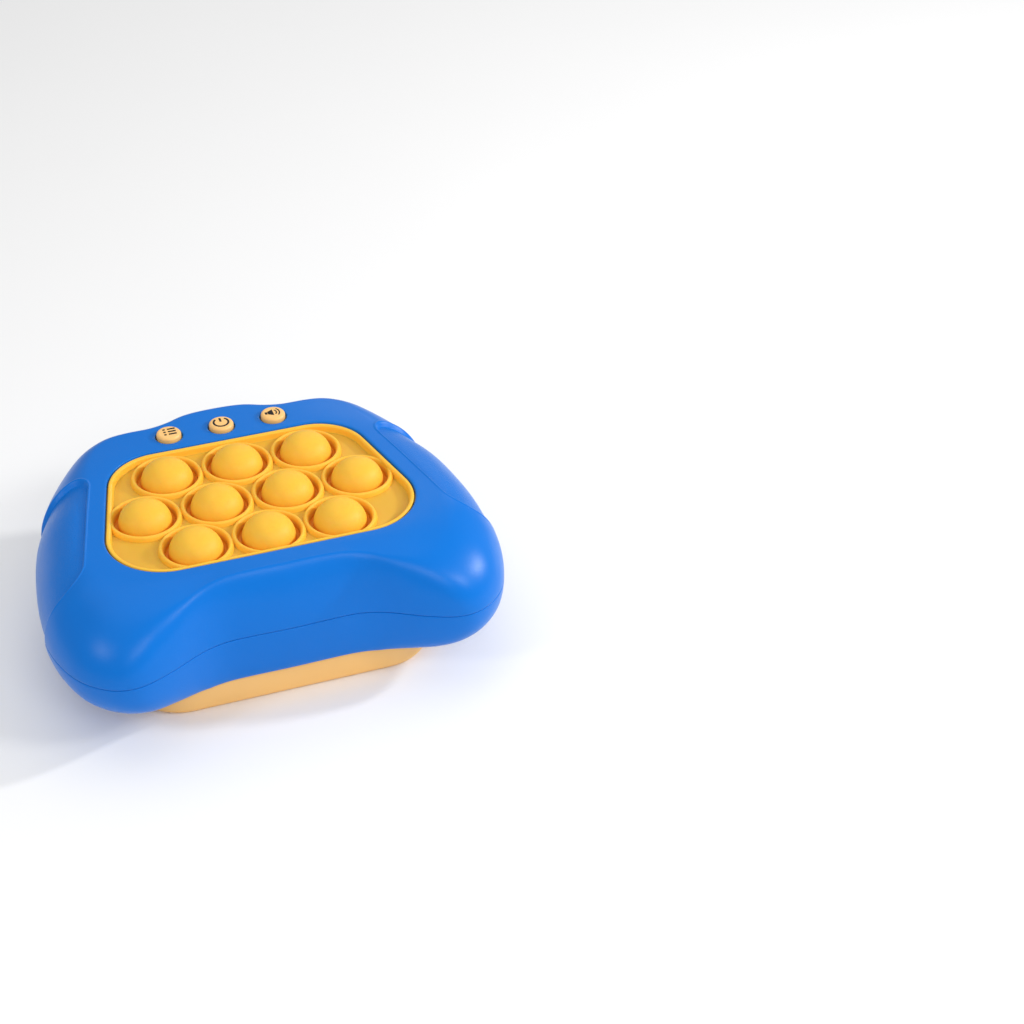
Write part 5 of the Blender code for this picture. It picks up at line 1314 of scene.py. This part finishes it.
# Screws: zinc-plated self-tapping screws with a flat pan head and a cross recess. The case's
# four go up their wells, and the others hold the light frame, the circuit board and the door.
def screw_tree():
    """A head with a cross recess, a shank with a thread and a tip, at each point."""
    inputs = {"Places": "Geometry", "Head Radius": "Float", "Head Height": "Float"}
    inputs |= {"Shank Radius": "Float", "Length": "Float", "Recess": "Vector", "Finish": "Material"}
    tree, given = new_tree("cross_screws", "Geometry", inputs, {"Geometry": "Geometry"})

    def times(value, factor):
        return maths(tree, "MULTIPLY", value, factor)

    def cone(sides, depth, bottom, top):
        sizes = {"Vertices": sides, "Depth": depth, "Radius Bottom": bottom, "Radius Top": top}
        return wire(tree, "GeometryNodeMeshCone", sizes).outputs["Mesh"]

    def moved(shape, **ways):
        return wire(tree, "GeometryNodeTransform", {"Geometry": shape, **ways}).outputs["Geometry"]

    def joined(*shapes):
        whole = wire(tree, "GeometryNodeJoinGeometry")
        for shape in shapes:
            tree.links.new(shape, whole.inputs[0])
        return whole.outputs[0]

    head, shank, length = given["Head Radius"], given["Shank Radius"], given["Length"]
    drop = wire(tree, "ShaderNodeCombineXYZ", {"Z": times(given["Head Height"], -1.0)}).outputs[0]
    bar = wire(tree, "GeometryNodeMeshCube", {"Size": given["Recess"]}).outputs["Mesh"]
    cross = joined(bar, moved(bar, Rotation=(0.0, 0.0, math.pi / 2)))
    cap = cone(28, given["Head Height"], head, head)
    cut = {"Mesh 1": moved(cap, Translation=drop), "Mesh 2": moved(cross, Translation=drop)}
    cut["Self Intersection"] = True
    cut = wire(tree, "GeometryNodeMeshBoolean", cut, operation="DIFFERENCE", solver="EXACT")
    coil = {"Resolution": 16, "Rotations": 7.0, "Height": times(length, 0.8)}
    coil |= {"Start Radius": shank, "End Radius": times(shank, 0.5)}
    thread = swept_coil(tree, coil, {"Resolution": 3, "Radius": times(shank, 0.16)})
    screw = joined(cut.outputs["Mesh"], cone(20, length, shank, times(shank, 0.35)), thread)
    copied(tree, given["Places"], screw, given["Finish"])
    return tree


SCREWS = screw_tree()
SCREW_SIZES = {"Head Radius": 2.45 * MM, "Head Height": 1.5 * MM, "Shank Radius": 1.15 * MM}
SCREW_SIZES["Recess"] = (3.0 * MM, 0.6 * MM, 1.5 * MM)


def screws(name, places, seat, length, body, nodes):
    """A set of screws under their seats, as one piece."""
    made = on_points(name, SCREWS, places, seat, {**SCREW_SIZES, "Length": length}, STEEL)
    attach(made, body)
    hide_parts(*nodes)


EAR_DEPTH = 3 * MM
EAR_PLACES = places_round(window(), (24.0, 156.0, -20.0, -160.0), 6.3 * MM)
BOARD_SCREW_PLACES = [(x * PITCH / 2, y * ROW_SPACING * 2 / 3) for x in (-1, 1) for y in (-1, 1)]
for kind, places, seat, length in (
    ("case", CASE_SCREW_PLACES, Z_JOINT - SEAT_DEPTH - 2 * GAP, 8 * MM),
    ("frame", EAR_PLACES, Z_FRAME_TOP - EAR_DEPTH - GAP, 6 * MM),
    ("board", BOARD_SCREW_PLACES, Z_BOARD - GAP, 6 * MM),
):
    nodes = [f"{kind}_screw_{k}" for k in (1, 2, 3, 4)]
    screws(f"{kind}_screws", places, seat, length, "casing", nodes)
screws("lid_screw", [DOOR_SCREW_PLACE], 1.9 * MM, 6 * MM, "reset", ["door_screw"])


# Studio: a pale paper floor, a wide soft light overhead, five smaller soft boxes round the toy,
# and the camera at the photograph's angle.
def studio_light(name, place, width, height, power):
    """A soft box that faces the toy."""
    light = bpy.data.lights.new(name, "AREA")
    light.shape = "RECTANGLE"
    light.size, light.size_y = width, height
    light.energy = power
    way = Vector((0.0, 0.0, 0.03)) - Vector(place)
    turn = way.to_track_quat("-Z", "Y").to_matrix().to_4x4()
    added(name, light).matrix_world = Matrix.Translation(place) @ turn


bm = bmesh.new()
bmesh.ops.create_grid(bm, x_segments=1, y_segments=1, size=4.0)
paper = plain_finish("paper", (0.96,) * 3, (0.945,) * 3, 0.75, 500.0, 12.0, 0.05, 0.0)
floor = finished("floor", bm, paper)
floor.data.transform(Matrix.Translation((0.0, 0.0, -0.05 * MM)))

studio_light("overhead", (-0.1, 0.3, 1.1), 1.1, 0.9, 2.0)
studio_light("back_box", (0.5, 0.9, 0.55), 0.5, 0.3, 0.7)
studio_light("left_box", (-0.72, -0.32, 0.65), 0.16, 0.16, 1.15)
studio_light("right_box", (0.88, -0.12, 0.48), 0.07, 0.07, 4.0)
studio_light("right_front_box", (0.61, -0.53, 0.62), 0.18, 0.18, 2.1)
studio_light("front_box", (0.0, -0.77, 0.67), 0.5, 0.3, 1.9)
world = bpy.data.worlds.new("studio")
world.use_nodes = True
background = world.node_tree.nodes["Background"].inputs
background["Color"].default_value = (1.0, 1.0, 1.0, 1.0)
background["Strength"].default_value = 0.48
bpy.context.scene.world = world
bpy.context.scene.view_settings.view_transform = "Standard"

lens = bpy.data.cameras.new("camera")
lens.lens = 75.7705
lens.sensor_width = 36.0
lens.clip_start = 0.01
camera = added("camera", lens)
camera.location = (-0.131755, -0.621146, 0.501954)
camera.rotation_euler = [math.radians(a) for a in (54.15119, -0.36606, -20.12768)]
bpy.context.scene.camera = camera
